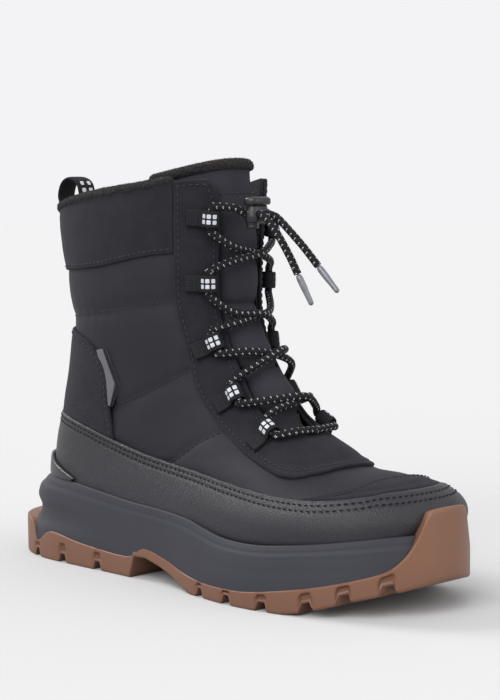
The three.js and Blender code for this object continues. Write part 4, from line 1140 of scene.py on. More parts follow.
def nylon_face(sheet):
    """Height of the padded nylon over the skin: crowned between its seams, gathered beside them."""
    given = bpy.context.scene.boot_upper
    points = sheet.points
    x, _, z = points.T
    seams = seam_distance(points)
    pinned = np.minimum.reduce([
        -above(CUFF_LINE)(sheet) + 3,
        -region(EYESTAY_SHAPE)(sheet) + 3,
        -region(COUNTER_SHAPE)(sheet) + 3,
        above(RAND_LINE)(sheet) + 3,
        -region(TOE_SHAPE)(sheet) + 3])
    puff = given.puff * 1000
    side = 1 - step(x, 150, 185)
    crown = (0.35 + 0.65 * side) * puff * (1 - np.exp(-(np.clip(pinned, 0, None) / 7.5) ** 1.4))
    quilt = side * (puff * 0.75 * np.exp(-(seams / 5.5) ** 1.3) + 0.55 * np.exp(-(seams / 1.7) ** 2))
    gather = 0.13 * np.exp(-seams / 7) * np.sin(x / 1.5 + ripple(points, 9) * 2) * side
    gather += 0.25 * np.exp(-np.clip(pinned, 0, None) / 6) * np.sin(z / 1.9 + ripple(points, 11, 2) * 2)
    slow = 0.4 * ripple(points, 34, 1) * step(pinned, 2, 14)
    return -0.9 + crown - quilt + gather * step(pinned, 0, 4) + slow


class BOOT_OT_upper(bpy.types.Operator):
    """Padded nylon wall with its fleece lining, open at the collar and the throat"""
    bl_idname = "boot.upper"
    bl_label = "Upper"

    def execute(self, context):
        wall = Sheet.over(0, LAST_ROW + 1, 150, 112)
        collar = below(COLLAR_LINE)
        wall.keep(collar, off_throat).ring([collar], [1.2])
        made = shell("upper_nylon", wall, nylon_face(wall), -UPPER_WALL, [nylon(), fleece()],
                     inner_material=1)
        settle(made, "nylon", "upper")
        return {"FINISHED"}


def overlay(name, low, high, rows, fields, rows_at, thick=OVERLAY_THICK, swell=0.25):
    """A sewn suede overlay with a rounded edge, pressed in along its rows of stitches."""
    sheet = Sheet.over(low, high, rows, 112)
    sheet.keep(*fields).ring(fields, (0.45, 1.1))
    inside = sheet.inset(fields)
    out = rounded(inside, thick, 1.3) + swell * step(inside, 2, 12) + 0.12 * ripple(sheet.points, 26, 3)
    for at in rows_at:
        out = out + groove(inside - at, 0.35, 0.9)
    settle(shell(name, sheet, out, np.full(len(out), -0.6), [suede()]), "suede", name)


class BOOT_OT_overlays(bpy.types.Operator):
    """Suede cuff, counter, eyestay and toe patch, sewn over the nylon"""
    bl_idname = "boot.overlays"
    bl_label = "Overlays"

    def execute(self, context):
        collar, rand = below(COLLAR_LINE), above(RAND_LINE)
        throat, beside = off_throat, outside(EYESTAY_SHAPE)
        overlay("eyestay", 0, 12.4, 130, [region(EYESTAY_SHAPE), throat, collar], (STAY_STITCH, 4.4))
        overlay("cuff", 0, 4, 60, [beside, above(CUFF_LINE), collar], (EDGE_STITCH,), swell=0.5)
        overlay("heel_counter", 2.5, 9.5, 60, [beside, region(COUNTER_SHAPE), rand], (EDGE_STITCH,))
        overlay("toe_patch", 12, LAST_ROW + 0.5, 50, [region(TOE_SHAPE), rand], (EDGE_STITCH,), thick=1.1)
        return {"FINISHED"}


def outline_arc(points):
    """Millimetres round the sole's outline of the place nearest to each point."""
    ring = between(OUTLINE, np.linspace(0, len(OUTLINE), 361), closed=True)[:, :2]
    ring = ring * (SOLE_LENGTH, BALL_WIDTH)
    long = lengths(ring)
    gap = ((points[:, None, :2] - ring[None]) ** 2).sum(2)
    return long[gap.argmin(1)]


class BOOT_OT_rand(bpy.types.Operator):
    """Coated rand round the foot with its double row of stitches"""
    bl_idname = "boot.rand"
    bl_label = "Rand"

    def execute(self, context):
        foot = above(CUP_LINE - (0, 5))
        top = below(RAND_LINE)
        sheet = Sheet.over(4.2, LAST_ROW + 0.6, 150, 112)
        sheet.keep(foot, top)
        sheet.ring([top], (0.5, 1.2, 2.6, 4.6))
        inside = top(sheet)
        points = sheet.points
        out = rounded(inside, RAND_THICK, 1.4) + 0.2 * step(inside, 6, 14)
        out += sum(groove(inside - at, 0.4, 0.8) for at in RAND_STITCHES)
        out += 0.22 * ripple(points, 30, 4) * step(inside, 4, 12)
        uv = np.column_stack([outline_arc(points), points[:, 2]])
        made = shell("rand", sheet, out, np.full(len(out), 0.0), [coated()], uv=uv)
        settle(made, "coated", "rand")
        return {"FINISHED"}


class BOOT_OT_binding(bpy.types.Operator):
    """Fleece edge rolled over the collar, with short fibres"""
    bl_idname = "boot.binding"
    bl_label = "Collar binding"

    def execute(self, context):
        sheet = Sheet.over(0, 3, 60, 100)
        sheet.keep(outside(EYESTAY_SHAPE))
        sheet.split(below(COLLAR_LINE), -0.7, line="edge")
        line = max(chain(sheet.lines["edge"]), key=len)
        at, turn = line[:, 0], line[:, 1]
        path = offset_skin(at, turn, np.full(len(at), -0.5))
        path = path[:: max(len(path) // 90, 1)]
        made = tube("collar_binding", path, 2.5, 14, 1.6, [fleece()])
        work = made.data
        spots = np.empty(len(work.vertices) * 3)
        work.vertices.foreach_get("co", spots)
        spots = spots.reshape(-1, 3)
        normals = np.empty(len(work.vertices) * 3)
        work.vertices.foreach_get("normal", normals)
        bumpy = ripple(spots * 1000, 2.6, 2) * 0.35 * MM
        spots += normals.reshape(-1, 3) * bumpy[:, None]
        work.vertices.foreach_set("co", spots.ravel())
        settle(made, "suede")
        grow_fibres(made, "collar_fibres")
        return {"FINISHED"}


def grow_fibres(made, name):
    """Short fleece fibres over a copy of a piece."""
    copy = made.copy()
    copy.data = made.data.copy()
    bpy.context.collection.objects.link(copy)
    grown = shared_tree(fibre_tree).apply(copy, name, Density=FIBRES, Long=FIBRE_LENGTH * MM,
                                          Fibre=fleece(), Seed=3)
    settle(grown, "suede")


# Tongue

def tongue_place(down, across):
    """Section and turn of a place on the tongue.

    Half of its columns lie in the throat, and half under the throat's edges.
    """
    side = 2 * across - 1
    top = TONGUE[0][0] + 0.1 * side * side + TONGUE_CORNER * step(side, 0.24, 0.5)
    at = top + down * (TONGUE[-1][0] - top)
    table = np.array(TONGUE)
    edge = turn_of_half(at, throat_edge(at, side))
    half = np.maximum(np.interp(at, table[:, 0], table[:, 1]), edge + 0.02)
    flap = np.maximum(2 * np.abs(side) - 1, 0)
    return at, 0.5 + np.sign(side) * (np.minimum(2 * np.abs(side), 1) * edge + flap * (half - edge))


def tongue_rise(at, across):
    """How far the tongue bulges between the eyestays."""
    along = step(at, 0.9, 2.2) * (1 - step(at, 8.1, 9.35))
    return TONGUE_RISE * along * np.maximum(1 - (4 * across - 2) ** 2, 0) ** 0.5


class BOOT_OT_tongue(bpy.types.Operator):
    """Padded tongue with sewn seams, and fleece along its back and top"""
    bl_idname = "boot.tongue"
    bl_label = "Tongue"

    def execute(self, context):
        rows, columns = 170, 90
        down = np.linspace(0, 1, rows + 1)[:, None]
        across = np.linspace(0, 1, columns + 1)[None, :]
        at, turn = tongue_place(*np.broadcast_arrays(down, across))
        sheet = Sheet.grid(np.stack([at, turn], -1))
        long = 150.0
        d = np.broadcast_to(down * long, at.shape).ravel()
        side = np.abs(np.broadcast_to(2 * across - 1, at.shape)).ravel()
        edge = np.minimum(d, (1 - side) * 60)
        pad = round_over(edge / 5.5)
        points = sheet.points
        x, _, z = points.T
        lean = TONGUE_LEAN * (1 - step(d / long, 0, 0.14))
        swell = tongue_rise(at, np.broadcast_to(across, at.shape)).ravel()
        out = TONGUE_FACE - lean + swell - TONGUE_THICK * 0.5 * (1 - pad) + 0.2 * ripple(points, 22, 5)
        for seam in TONGUE_SEAMS:
            out += groove(z - seam - 0.06 * (x - 150), 2.0, 1.2) + groove(z - seam, 1.6, 7)
        out += groove(z - TONGUE_TOP_SEAM - 0.02 * (x - 150), 0.4, 1.1) + groove(edge - 2.6, 0.3, 0.8)
        inn = TONGUE_FACE - lean - TONGUE_THICK + TONGUE_THICK * 0.5 * (1 - pad)
        made = shell("tongue", sheet, out, inn, [padded_cloth(), fleece()], inner_material=1)
        settle(made, "suede", "tongue")
        edge_at, edge_turn = tongue_place(np.zeros(70), np.linspace(0.03, 0.66, 70))
        roll = offset_skin(edge_at, edge_turn, np.full(70, TONGUE_FACE - TONGUE_LEAN - 0.45 * TONGUE_THICK))
        roll[:, 2] -= 1.1
        made = tube("tongue_fleece_edge", roll, 3.0, 16, 1.6, [fleece()])
        settle(made, "suede")
        grow_fibres(made, "tongue_fibres")
        return {"FINISHED"}


# Sole

def outline_at(share, around, inset=0.0):
    """Points round the outline in millimetres, drawn towards the cup's edge by their share."""
    ring = between(OUTLINE, around * len(OUTLINE), closed=True)
    low, high = ring[..., :2], ring[..., 2:]
    share = np.asarray(share, float)[..., None]
    point = (low * (1 - share) + high * share) * (SOLE_LENGTH, BALL_WIDTH)
    ahead = between(OUTLINE, around * len(OUTLINE) + 0.05, closed=True)[..., :2] * (SOLE_LENGTH, BALL_WIDTH)
    behind = between(OUTLINE, around * len(OUTLINE) - 0.05, closed=True)[..., :2] * (SOLE_LENGTH, BALL_WIDTH)
    run = ahead - behind
    run /= np.linalg.norm(run, axis=-1)[..., None]
    inward = np.stack([-run[..., 1], run[..., 0]], -1)
    return point + inward * np.asarray(inset, float)[..., None]


def even_around(count):
    """Places round the outline at equal steps."""
    fine = np.linspace(0, 1, 2001)
    ring = outline_at(np.zeros(2001), fine)
    long = np.concatenate([[0], np.cumsum(np.linalg.norm(np.diff(ring, axis=0), axis=1))])
    return np.interp(np.arange(count) / count * long[-1], long, fine)


class BOOT_OT_midsole(bpy.types.Operator):
    """Foam cup with its sculpted heel and its edge round the rand"""
    bl_idname = "boot.midsole"
    bl_label = "Midsole"

    def execute(self, context):
        around = even_around(460)
        middle = outline_at(np.full(460, 0.5), around)
        forward = step(middle[:, 0] / SOLE_LENGTH, 0.2, 0.5)
        rings = []
        for up in np.linspace(0, 1, 46):
            at = np.interp(up, FOAM_SIDE[:, 0], np.arange(len(FOAM_SIDE)))
            _, heel, fore = between(FOAM_SIDE, at)
            ridge = 0.22 * math.exp(-((up - 0.87) / 0.03) ** 2) - 0.1 * math.exp(-((up - 0.8) / 0.04) ** 2)
            point = outline_at(heel + (fore - heel) * forward, around, 0.4 + ridge)
            foot = np.clip(height_on(GUM_LINE, point[:, 0]), 0, None)
            low = 6 + 0.4 * (np.minimum(foot, 14) - 6)
            z = low + up * (height_on(CUP_LINE, point[:, 0]) - low)
            z = np.maximum(z, foot - 1.5)
            rings.append(np.column_stack([point, z]))
        top = rings[-1]
        for inset, rise in ((0.35, 0.3), (0.9, 0.45), (1.6, 0.3), (4.5, -2.5)):
            point = outline_at(np.ones(460), around, 0.4 + inset)
            rings.append(np.column_stack([point, top[:, 2] + rise]))
        made = rings_mesh("midsole", rings, [foam()])
        settle(made, "foam", "midsole")
        return {"FINISHED"}


def tread(x, y):
    """Height of the tread over the ground line: cross grooves with sloping walls."""
    rise = np.zeros_like(x)
    across = np.clip(y / BALL_WIDTH, -0.5, 0.5)
    for outer, inner, wide in GROOVES:
        middle = (outer + inner) / 2
        share = np.abs(across) * 2
        edge = np.where(across < 0, outer, inner)
        start = (middle - 0.012 * (1 - share) + (edge - middle) * share) * SOLE_LENGTH
        end = start + wide * SOLE_LENGTH
        inside = np.minimum(x - start, end - x)
        rise = np.maximum(rise, GROOVE_DEPTH * step(inside, -0.3, 0.7))
    rubber = np.clip(height_on(GUM_LINE, x), 0, None) - height_on(GROUND_LINE, x)
    return np.minimum(rise, np.clip(rubber - 2.6, 0.8, None))


class BOOT_OT_outsole(bpy.types.Operator):
    """Rubber outsole with its tread, side notches and toe bumper"""
    bl_idname = "boot.outsole"
    bl_label = "Outsole"

    def execute(self, context):
        count = 640
        around = even_around(count)
        edge = outline_at(np.zeros(count), around)
        spine = np.column_stack([np.clip(edge[:, 0], 0.13 * SOLE_LENGTH, 0.86 * SOLE_LENGTH),
                                 np.zeros(count)])
        rings = []
        for share in np.linspace(0, 1, 44) ** 0.9:
            flat = spine + (edge - spine) * (0.02 + 0.955 * share)
            x, y = flat.T
            z = height_on(GROUND_LINE, x) + tread(x, y)
            rings.append(np.column_stack([flat, z]))
        for inset, rise in ((0.7, 0.15), (0.25, 0.6), (0.0, 1.4)):
            flat = outline_at(np.zeros(count), around, inset)
            z = height_on(GROUND_LINE, flat[:, 0]) + tread(flat[:, 0], flat[:, 1]) + rise
            rings.append(np.column_stack([flat, z]))
        foot = rings[-1][:, 2]
        top = height_on(GUM_LINE, edge[:, 0])
        top = np.maximum(top, foot + 1.5)
        notch = tread(edge[:, 0], edge[:, 1]) / GROOVE_DEPTH
        for up in np.linspace(0.06, 0.94, 20):
            z = foot + up * (top - foot)
            pocket = notch * 2.2 * (1 - step(np.maximum((z - foot) / 6.5, up * 1.15), 0.45, 0.85))
            flat = outline_at(np.zeros(count), around, pocket)
            rings.append(np.column_stack([flat, z]))
        for inset, rise in ((0.12, -0.35), (0.5, -0.05), (1.1, 0.0)):
            rings.append(np.column_stack([outline_at(np.zeros(count), around, inset), top + rise]))
        for share in (0.5, 1.0, 1.25):
            rings.append(np.column_stack([outline_at(np.full(count, share), around, 1.4), top - share]))
        made = rings_mesh("outsole", rings, [gum()])
        settle(made, "gum", "outsole")
        return {"FINISHED"}


# Stitches

class BOOT_OT_stitches(bpy.types.Operator):
    """Rows of thread along the edges of the overlays, the rand and the quilt"""
    bl_idname = "boot.stitches"
    bl_label = "Stitches"

    def execute(self, context):
        whole = Sheet.over(0, LAST_ROW + 0.6, 130, 90)
        collar, rand, throat = below(COLLAR_LINE), above(RAND_LINE), off_throat
        stay, beside = region(EYESTAY_SHAPE), outside(EYESTAY_SHAPE)
        top = below(RAND_LINE)
        over = OVERLAY_THICK - 0.02
        rows = {
            "rand": [(top, RAND_STITCHES[0], RAND_THICK - 0.05, None),
                     (top, RAND_STITCHES[1], RAND_THICK - 0.02, None)],
            "eyestay": [(stay, STAY_STITCH, over, (throat, collar, rand)),
                        (stay, STAY_STITCH, over, (throat, collar, rand)),
                        (throat, THROAT_STITCH, over, (stay, collar)),
                        (collar, THROAT_STITCH, over, (stay, throat))],
            "cuff": [(above(CUFF_LINE), EDGE_STITCH, over + 0.1, (beside, collar))],
            "counter": [(region(COUNTER_SHAPE), EDGE_STITCH, over, (rand,))],
            "toe": [(region(TOE_SHAPE), EDGE_STITCH, over - 0.1, (rand,))],
        }
        for number, (name, given) in enumerate(rows.items()):
            runs = []
            for edge, inside, out, within in given:
                runs += sewn_lines(whole, edge, inside, out, within)
            finish = dark_thread() if name == "rand" else None
            stitch(f"stitches_{name}", runs, seed=number, finish=finish)
        stitch("stitches_quilt", self.quilt(whole), pitch=3.2, long=2.2, thick=0.6)
        stitch("stitches_tongue", self.tongue(), pitch=3.2)
        stitch("stitches_loops", self.tacks(), pitch=1.25, long=1.1, thick=0.5)
        return {"FINISHED"}

    def quilt(self, whole):
        """Thread along the quilt's seams, between their ends."""
        def height_of(sheet):
            return nylon_face(sheet) + 0.5

        runs = []
        for seam in QUILT_SEAMS:
            def span(sheet, first=seam[0][0], last=seam[-1][0]):
                x = sheet.points[:, 0]
                return np.minimum(x - first + 2, last + 2 - x)

            ends = [(-30, seam[0][1]), *seam, (260, seam[-1][1])]
            within = (outside(EYESTAY_SHAPE), outside(COUNTER_SHAPE), above(RAND_LINE), span)
            runs += sewn_lines(whole, above(np.array(ends, float)), 0.0, height_of, within)
        return runs

    def tongue(self):
        """Thread along the tongue's two sewn channels near its top."""
        down = np.linspace(0, 0.5, 60)[:, None]
        down, across = np.broadcast_arrays(down, np.linspace(0.03, 0.97, 70)[None])
        sheet = Sheet.grid(np.stack(tongue_place(down, across), -1))
        runs = []
        for level, out in ((TONGUE_TOP_SEAM, -1.0), (TONGUE_SEAMS[0] - 2.6, 0.0)):
            def over_seam(given, level=level):
                return given.points[:, 2] - level - 0.02 * (given.points[:, 0] - 150)

            runs += sewn_lines(sheet, over_seam, 0.0, TONGUE_FACE + out)
        return runs

    def tacks(self):
        """Short rows of thread that hold each lace loop down."""
        runs = []
        foot = OVERLAY_THICK + CLEARANCE
        for side, places in (("lateral", (-8.4, -7.2, -5.6, -4.4)), ("medial", (-3.8, -3.1))):
            for origin, normal, down, inwards, _ in loop_frames(side):
                for u in places:
                    lift = foot + 2.1 + max(u + 5.5, 0) * 0.24
                    start = origin + inwards * u + normal * lift
                    line = [start + down * f for f in np.linspace(-3.4, 3.4, 9)]
                    runs.append((np.array(line), np.repeat(normal[None], 9, 0)))
        return runs


# Small pieces

def spot_on(at, turn, out):
    """One point that lies out millimetres off the last's skin."""
    return offset_skin(np.array([at]), np.array([turn]), np.array([out]))[0]


def soft_box(count, wide, tall, square):
    """Across and up values round a flat strip's section with soft corners."""
    a = np.linspace(0, 2 * np.pi, count + 1)[:-1]
    across = np.sign(np.cos(a)) * np.abs(np.cos(a)) ** square * wide / 2
    return across, np.sign(np.sin(a)) * np.abs(np.sin(a)) ** 0.8 * tall / 2


def band_piece(name, points, thick, wide, materials):
    """Webbing along a path of x, z points, run across the boot, with soft edges."""
    x, z = np.array(points).T
    path, at = smooth_path(np.column_stack([x, np.zeros(len(x)), z]), 0.8)
    run = unit(np.gradient(path, axis=0))
    up = np.column_stack([-run[:, 2], np.zeros(len(run)), run[:, 0]])
    flat, tall = soft_box(28, wide, thick, 0.5)
    rings = path[:, None] + flat[None, :, None] * np.array([0, 1.0, 0]) + tall[None, :, None] * up[:, None]
    rows, count = rings.shape[:2]
    uv = np.stack([np.repeat(at[:, None], count, 1), np.repeat(flat[None], rows, 0)], -1).reshape(-1, 2)
    return rings_mesh(name, rings, materials, uv=np.vstack([uv, uv[0], uv[-1]]))


def squares(name, spots, size, thick=0.35):
    """Small rounded squares lying on cloth: spots of (middle, along, across, normal)."""
    points, faces = [], []
    for middle, along, across, normal in spots:
        first = len(points)
        for lift, grow in ((-0.3, 1.0), (thick * 0.6, 1.0), (thick, 0.82)):
            for a in np.linspace(0, 2 * np.pi, 17)[:-1]:
                c, s = math.cos(a), math.sin(a)
                u = math.copysign(abs(c) ** 0.35, c) * size / 2 * grow
                v = math.copysign(abs(s) ** 0.35, s) * size / 2 * grow
                points.append(middle + along * u + across * v + normal * lift)
        for level in (0, 16):
            faces += [(first + level + i, first + level + (i + 1) % 16, first + level + 16 + (i + 1) % 16,
                       first + level + 16 + i) for i in range(16)]
        faces.append(tuple(first + 32 + i for i in range(16)))
        faces.append(tuple(first + i for i in reversed(range(16))))
    mesh = bpy.data.meshes.new(name)
    mesh.from_pydata(row_frame(points).tolist(), [], faces)
    mesh.materials.append(reflective())
    work = bmesh.new()
    work.from_mesh(mesh)
    bmesh.ops.recalc_face_normals(work, faces=work.faces)
    work.to_mesh(mesh)
    work.free()
    made = bpy.data.objects.new(name, mesh)
    bpy.context.collection.objects.link(made)
    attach(made, "root")
    return made


class BOOT_OT_pull_loop(bpy.types.Operator):
    """Webbing loop at the back with its reflective squares"""
    bl_idname = "boot.pull_loop"
    bl_label = "Pull loop"

    def execute(self, context):
        def back(at, out):
            return spot_on(at, 0.0, out)[[0, 2]]

        strap_out = OVERLAY_THICK + CLEARANCE + STRAP_THICK / 2
        strap_in = -UPPER_WALL - CLEARANCE - STRAP_THICK / 2 - 1.5
        top = [(-8, 10), (-12, 17), (-9.5, 24.5), (-3.5, 27.5), (3.5, 25), (6.2, 18), (6.6, 11)]
        route = [back(at, strap_out) for at in (2.42, 2.1, 1.7, 1.35, 1.1)]
        route += [(0.093 * SOLE_LENGTH + x, 181 + z) for x, z in top]
        route += [back(at, strap_in) for at in (1.15, 1.45, 1.7)]
        made = band_piece("pull_loop", route, STRAP_THICK, STRAP_WIDTH, [webbing()])
        settle(made, "webbing", "pull_loop")
        spots = []
        for x, z, lean in ((3.9, 24.2, 0.5), (5.7, 20.6, 0.24), (6.4, 16.8, 0.08)):
            normal = np.array([math.cos(lean), 0, math.sin(lean)])
            along = np.array([-math.sin(lean), 0, math.cos(lean)])
            for y in (-2.4, 2.4):
                middle = np.array([0.093 * SOLE_LENGTH + x, y, 181 + z]) + normal * (STRAP_THICK / 2)
                spots.append((middle, along, np.array([0, 1.0, 0]), normal))
        squares("pull_loop_marks", spots, 2.5, 0.25)
        return {"FINISHED"}


def loop_frame(at, turn):
    """A lace loop's origin, its three directions and the middle of its bore."""
    at, turn = np.array([at]), np.array([turn])
    origin, normal = skin(at, turn)[0], skin_normal(at, turn)[0]
    down = (skin(at + 0.1, turn) - skin(at - 0.1, turn))[0]
    down -= normal * down.dot(normal)
    down /= np.linalg.norm(down)
    inwards = np.cross(normal, down)
    if inwards[1] * origin[1] > 0:
        inwards = -inwards
    out = OVERLAY_THICK + CLEARANCE + 1.2 + LOOP_BORE / 2
    return origin, normal, down, inwards, origin + inwards * 3.5 + normal * out


def loop_frames(side):
    """The frames of one side's five lace loops, from the lowest up."""
    way, column = (-1, 0) if side == "lateral" else (1, 1)
    return [loop_frame(row[column], 0.5 + way * row[column + 2]) for row in LOOPS]


class BOOT_OT_lace_loops(bpy.types.Operator):
    """Folded webbing loops with reflective squares, sewn on the eyestay"""
    bl_idname = "boot.lace_loops"
    bl_label = "Lace loops"

    def execute(self, context):
        foot = OVERLAY_THICK + CLEARANCE
        out = foot + 1.2 + LOOP_BORE / 2
        for side, tail in (("lateral", 9.5), ("medial", 4.5)):
            spots = []
            for number, (origin, normal, down, inwards, _) in enumerate(loop_frames(side), 1):
                radius = LOOP_BORE / 2 + 0.6
                profile = [(-tail, foot + 0.5), (-tail * 0.55, foot + 0.5), (0, foot + 0.6)]
                profile += [(3.5 + radius * math.sin(a), out - radius * math.cos(a))
                            for a in np.linspace(0, math.pi, 9)]
                profile += [(1.0, out + radius - 0.5), (-2.0, foot + 2.6),
                            (-0.8 - tail * 0.5, foot + 1.7), (-tail, foot + 1.5)]
                line = between(profile, np.linspace(0, len(profile) - 1, 60))
                run = unit(np.gradient(line, axis=0))
                side_way = np.column_stack([-run[:, 1], run[:, 0]])
                rings = []
                flat, tall = soft_box(20, LOOP_LENGTH, 1.1, 0.4)
                for (u, n), (su, sn) in zip(line, side_way):
                    rings.append([origin + inwards * (u + su * t) + normal * (n + sn * t) + down * f
                                  for f, t in zip(flat, tall)])
                name = f"lace_loop_{side}_{number}"
                made = rings_mesh(name, rings, [webbing()])
                settle(made, "webbing", name)
                spots += self.marks(origin, normal, down, inwards, line)
            squares(f"loop_marks_{side}", spots, 2.15, 0.25)
        return {"FINISHED"}

    def marks(self, origin, normal, down, inwards, line):
        """Three by two squares on the part of the fold that faces out."""
        found = []
        long = lengths(line)
        crest = long[np.argmax(line[:, 1])]
        for column in range(3):
            at = crest - 2.4 + column * 2.75
            u, n = (np.interp(at, long, line[:, i]) for i in (0, 1))
            du, dn = (np.interp(at, long, np.gradient(line[:, i], long)) for i in (0, 1))
            along = inwards * du + normal * dn
            along /= np.linalg.norm(along)
            face = np.cross(down, along)
            if face.dot(normal) < 0:
                face = -face
            middle = origin + inwards * u + normal * n
            for row in (-1, 1):
                found.append((middle + down * row * 1.45 + face * 0.5, along, down, face))
        return found


def lace_points(first):
    """The lace's run from the bar across the lowest loops up to the cord lock."""
    other = {"lateral": "medial", "medial": "lateral"}
    way = {"lateral": -1, "medial": 1}
    frames = {side: loop_frames(side) for side in other}
    bar = (LOOPS[0][0] + LOOPS[0][1]) / 2 + 0.62
    points = [spot_on(bar, 0.5 - way[first] * 0.012, 3.6), spot_on(bar, 0.5 + way[first] * 0.04, 5.4)]
    side = first
    for i, row in enumerate(LOOPS):
        _, _, down, _, bore = frames[side][i]
        points += [bore + down * reach for reach in (6.4, 5, -5, -6.4)]
        if i == len(LOOPS) - 1:
            break
        after = LOOPS[i + 1]
        middle = (row[0] + row[1] + after[0] + after[1]) / 4
        span = (row[0] - after[0]) / 8
        centre = 0.5 + (row[3] + after[3] - row[2] - after[2]) / 8
        points.append(spot_on(middle + span, centre + way[side] * 0.046, 6.4))
        points.append(spot_on(middle, centre, TONGUE_RISE + (-0.6 if first == "lateral" else 3.3)))
        points.append(spot_on(middle - span, centre - way[side] * 0.046, 6.4))
        side = other[side]
    y = BORES[side]
    points.append((LOCK_BACK - 4.4, y + way[side] * 5.4, LOCK_MIDDLE[2] + 3.4))
    points.append((LOCK_BACK - 1.2, y + way[side] * 0.3, LOCK_MIDDLE[2] + 0.2))
    points.append((LOCK_BACK + 1, y, LOCK_MIDDLE[2]))
    points.append((LOCK_FRONT - CLEARANCE, y, LOCK_MIDDLE[2]))
    return points


class BOOT_OT_lace(bpy.types.Operator):
    """Braided lace through the loops, with two free ends and their aglets"""
    bl_idname = "boot.lace"
    bl_label = "Lace"

    def execute(self, context):
        radius = context.scene.boot_lace.diameter * 500
        for number, first in enumerate(("lateral", "medial"), 1):
            route = lace_points(first)
            made = tube(f"lace_run_{number}", route, radius, 12, 1.1, [braid()], round_ends=False)
            settle(made, "cord", "lace")
        for side, route in ENDS.items():
            points = np.array([(LOCK_FRONT + x, BORES[side] + y, LOCK_MIDDLE[2] + z) for x, y, z in route])
            path, at = smooth_path(points, 1.6)
            end = tube(f"free_end_{side}", points, radius, 12, 0.9, [braid()], round_ends=False)
            settle(end, "cord", f"lace_end_{side}")
            along = points[-1] - points[-2]
            along /= np.linalg.norm(along)
            foot = points[-1] + along * CLEARANCE
            tip = foot + along * AGLET_LENGTH
            spots = [foot + (tip - foot) * share for share in np.linspace(0, 1, 6)]
            sizes = np.array([0.8, 1.0, 1.0, 0.98, 0.9, 0.82, 0.8, 0.74]) * radius * 0.86
            cap = tube(f"aglet_sleeve_{side}", spots, sizes, 20, 0.6, [sleeve()])
            settle(cap, "sleeve", f"aglet_{side}")
        return {"FINISHED"}


class BOOT_OT_cord_lock(bpy.types.Operator):
    """Plastic cord lock: a body with its barrel, and the button on top"""
    bl_idname = "boot.cord_lock"
    bl_label = "Cord lock"

    def execute(self, context):
        def lozenge(wide, deep, levels, middle):
            rings = []
            for z, inset in levels:
                a = np.linspace(0, 2 * np.pi, 49)[:-1]
                radius = deep / 2 - inset
                y = np.sign(np.sin(a)) * (wide - deep) / 2 + radius * np.sin(a)
                rings.append(np.column_stack([middle[0] + radius * np.cos(a), middle[1] + y,
                                              np.full(48, middle[2] + z)]))
            return rings

        body = lozenge(14, 8.5, [(-4.5, 1.4), (-4.2, 0.5), (-3.6, 0), (-0.5, 0), (1.6, 0.5), (3.2, 1.0),
                                 (4.2, 1.1), (4.5, 1.4)], LOCK_MIDDLE)
        made = rings_mesh("lock_body", body, [plastic()])
        settle(made, "plastic", "cord_lock_body")
        a = np.linspace(0, 2 * np.pi, 33)[:-1]
        middle = LOCK_MIDDLE + (0, -3.35, -2.6)
        levels = ((-4.5, 2.2), (-4.3, 2.7), (-3.9, 3.0), (-3.2, 3.05), (-2.9, 2.85), (-2.6, 3.1),
                  (3.6, 3.6), (4.2, 3.3), (4.5, 2.6))
        rings = [np.column_stack([middle[0] + r * np.cos(a), middle[1] + r * np.sin(a),
                                  np.full(32, middle[2] + z)]) for z, r in levels]
        settle(rings_mesh("lock_barrel", rings, [plastic()]), "plastic", "cord_lock_body")
        cap = lozenge(15.5, 9.5, [(4.8, 0.9), (5.1, 0.3), (5.6, 0), (7.4, 0), (8.1, 0.35), (8.6, 1.0),
                                  (8.8, 2.0)], LOCK_MIDDLE)
        settle(rings_mesh("lock_button", cap, [plastic()]), "plastic", "cord_lock_button")
        return {"FINISHED"}


class BOOT_OT_heel_clip(bpy.types.Operator):
    """Ledge round the back of the heel with its flared lip"""
    bl_idname = "boot.heel_clip"
    bl_label = "Heel clip"

    def execute(self, context):
        face = RAND_THICK + 1.5 * CLEARANCE
        down = np.linspace(0, 1, 41)[:, None]
        across = np.linspace(0, 1, 121)[None, :]
        down, across = np.broadcast_arrays(down, across)
        sheet = Sheet.grid(np.stack([4.9 + 2.6 * down, (2 * across - 1) * 0.21, down, across], -1))
        fields = [below(side_line(CLIP_EDGE)), above(CUP_LINE + (0, 0.3))]
        sheet.keep(*fields).ring(fields, (0.4, 1.0))
        inside = sheet.inset(fields)
        rise = 1 - step(sheet.data[:, 2], 0.1, 0.42)
        spread = np.clip(1 - (2 * sheet.data[:, 3] - 1) ** 2, 0, None)
        out = face + 2.6 * (0.35 + 0.65 * np.sqrt(spread)) + 2.6 * rise * spread ** 2
        out = out - 0.8 * (1 - round_over(inside))
        made = shell("heel_clip", sheet, out, np.full(len(out), face - 0.3), [plastic()])
        settle(made, "plastic", "heel_clip")
        return {"FINISHED"}


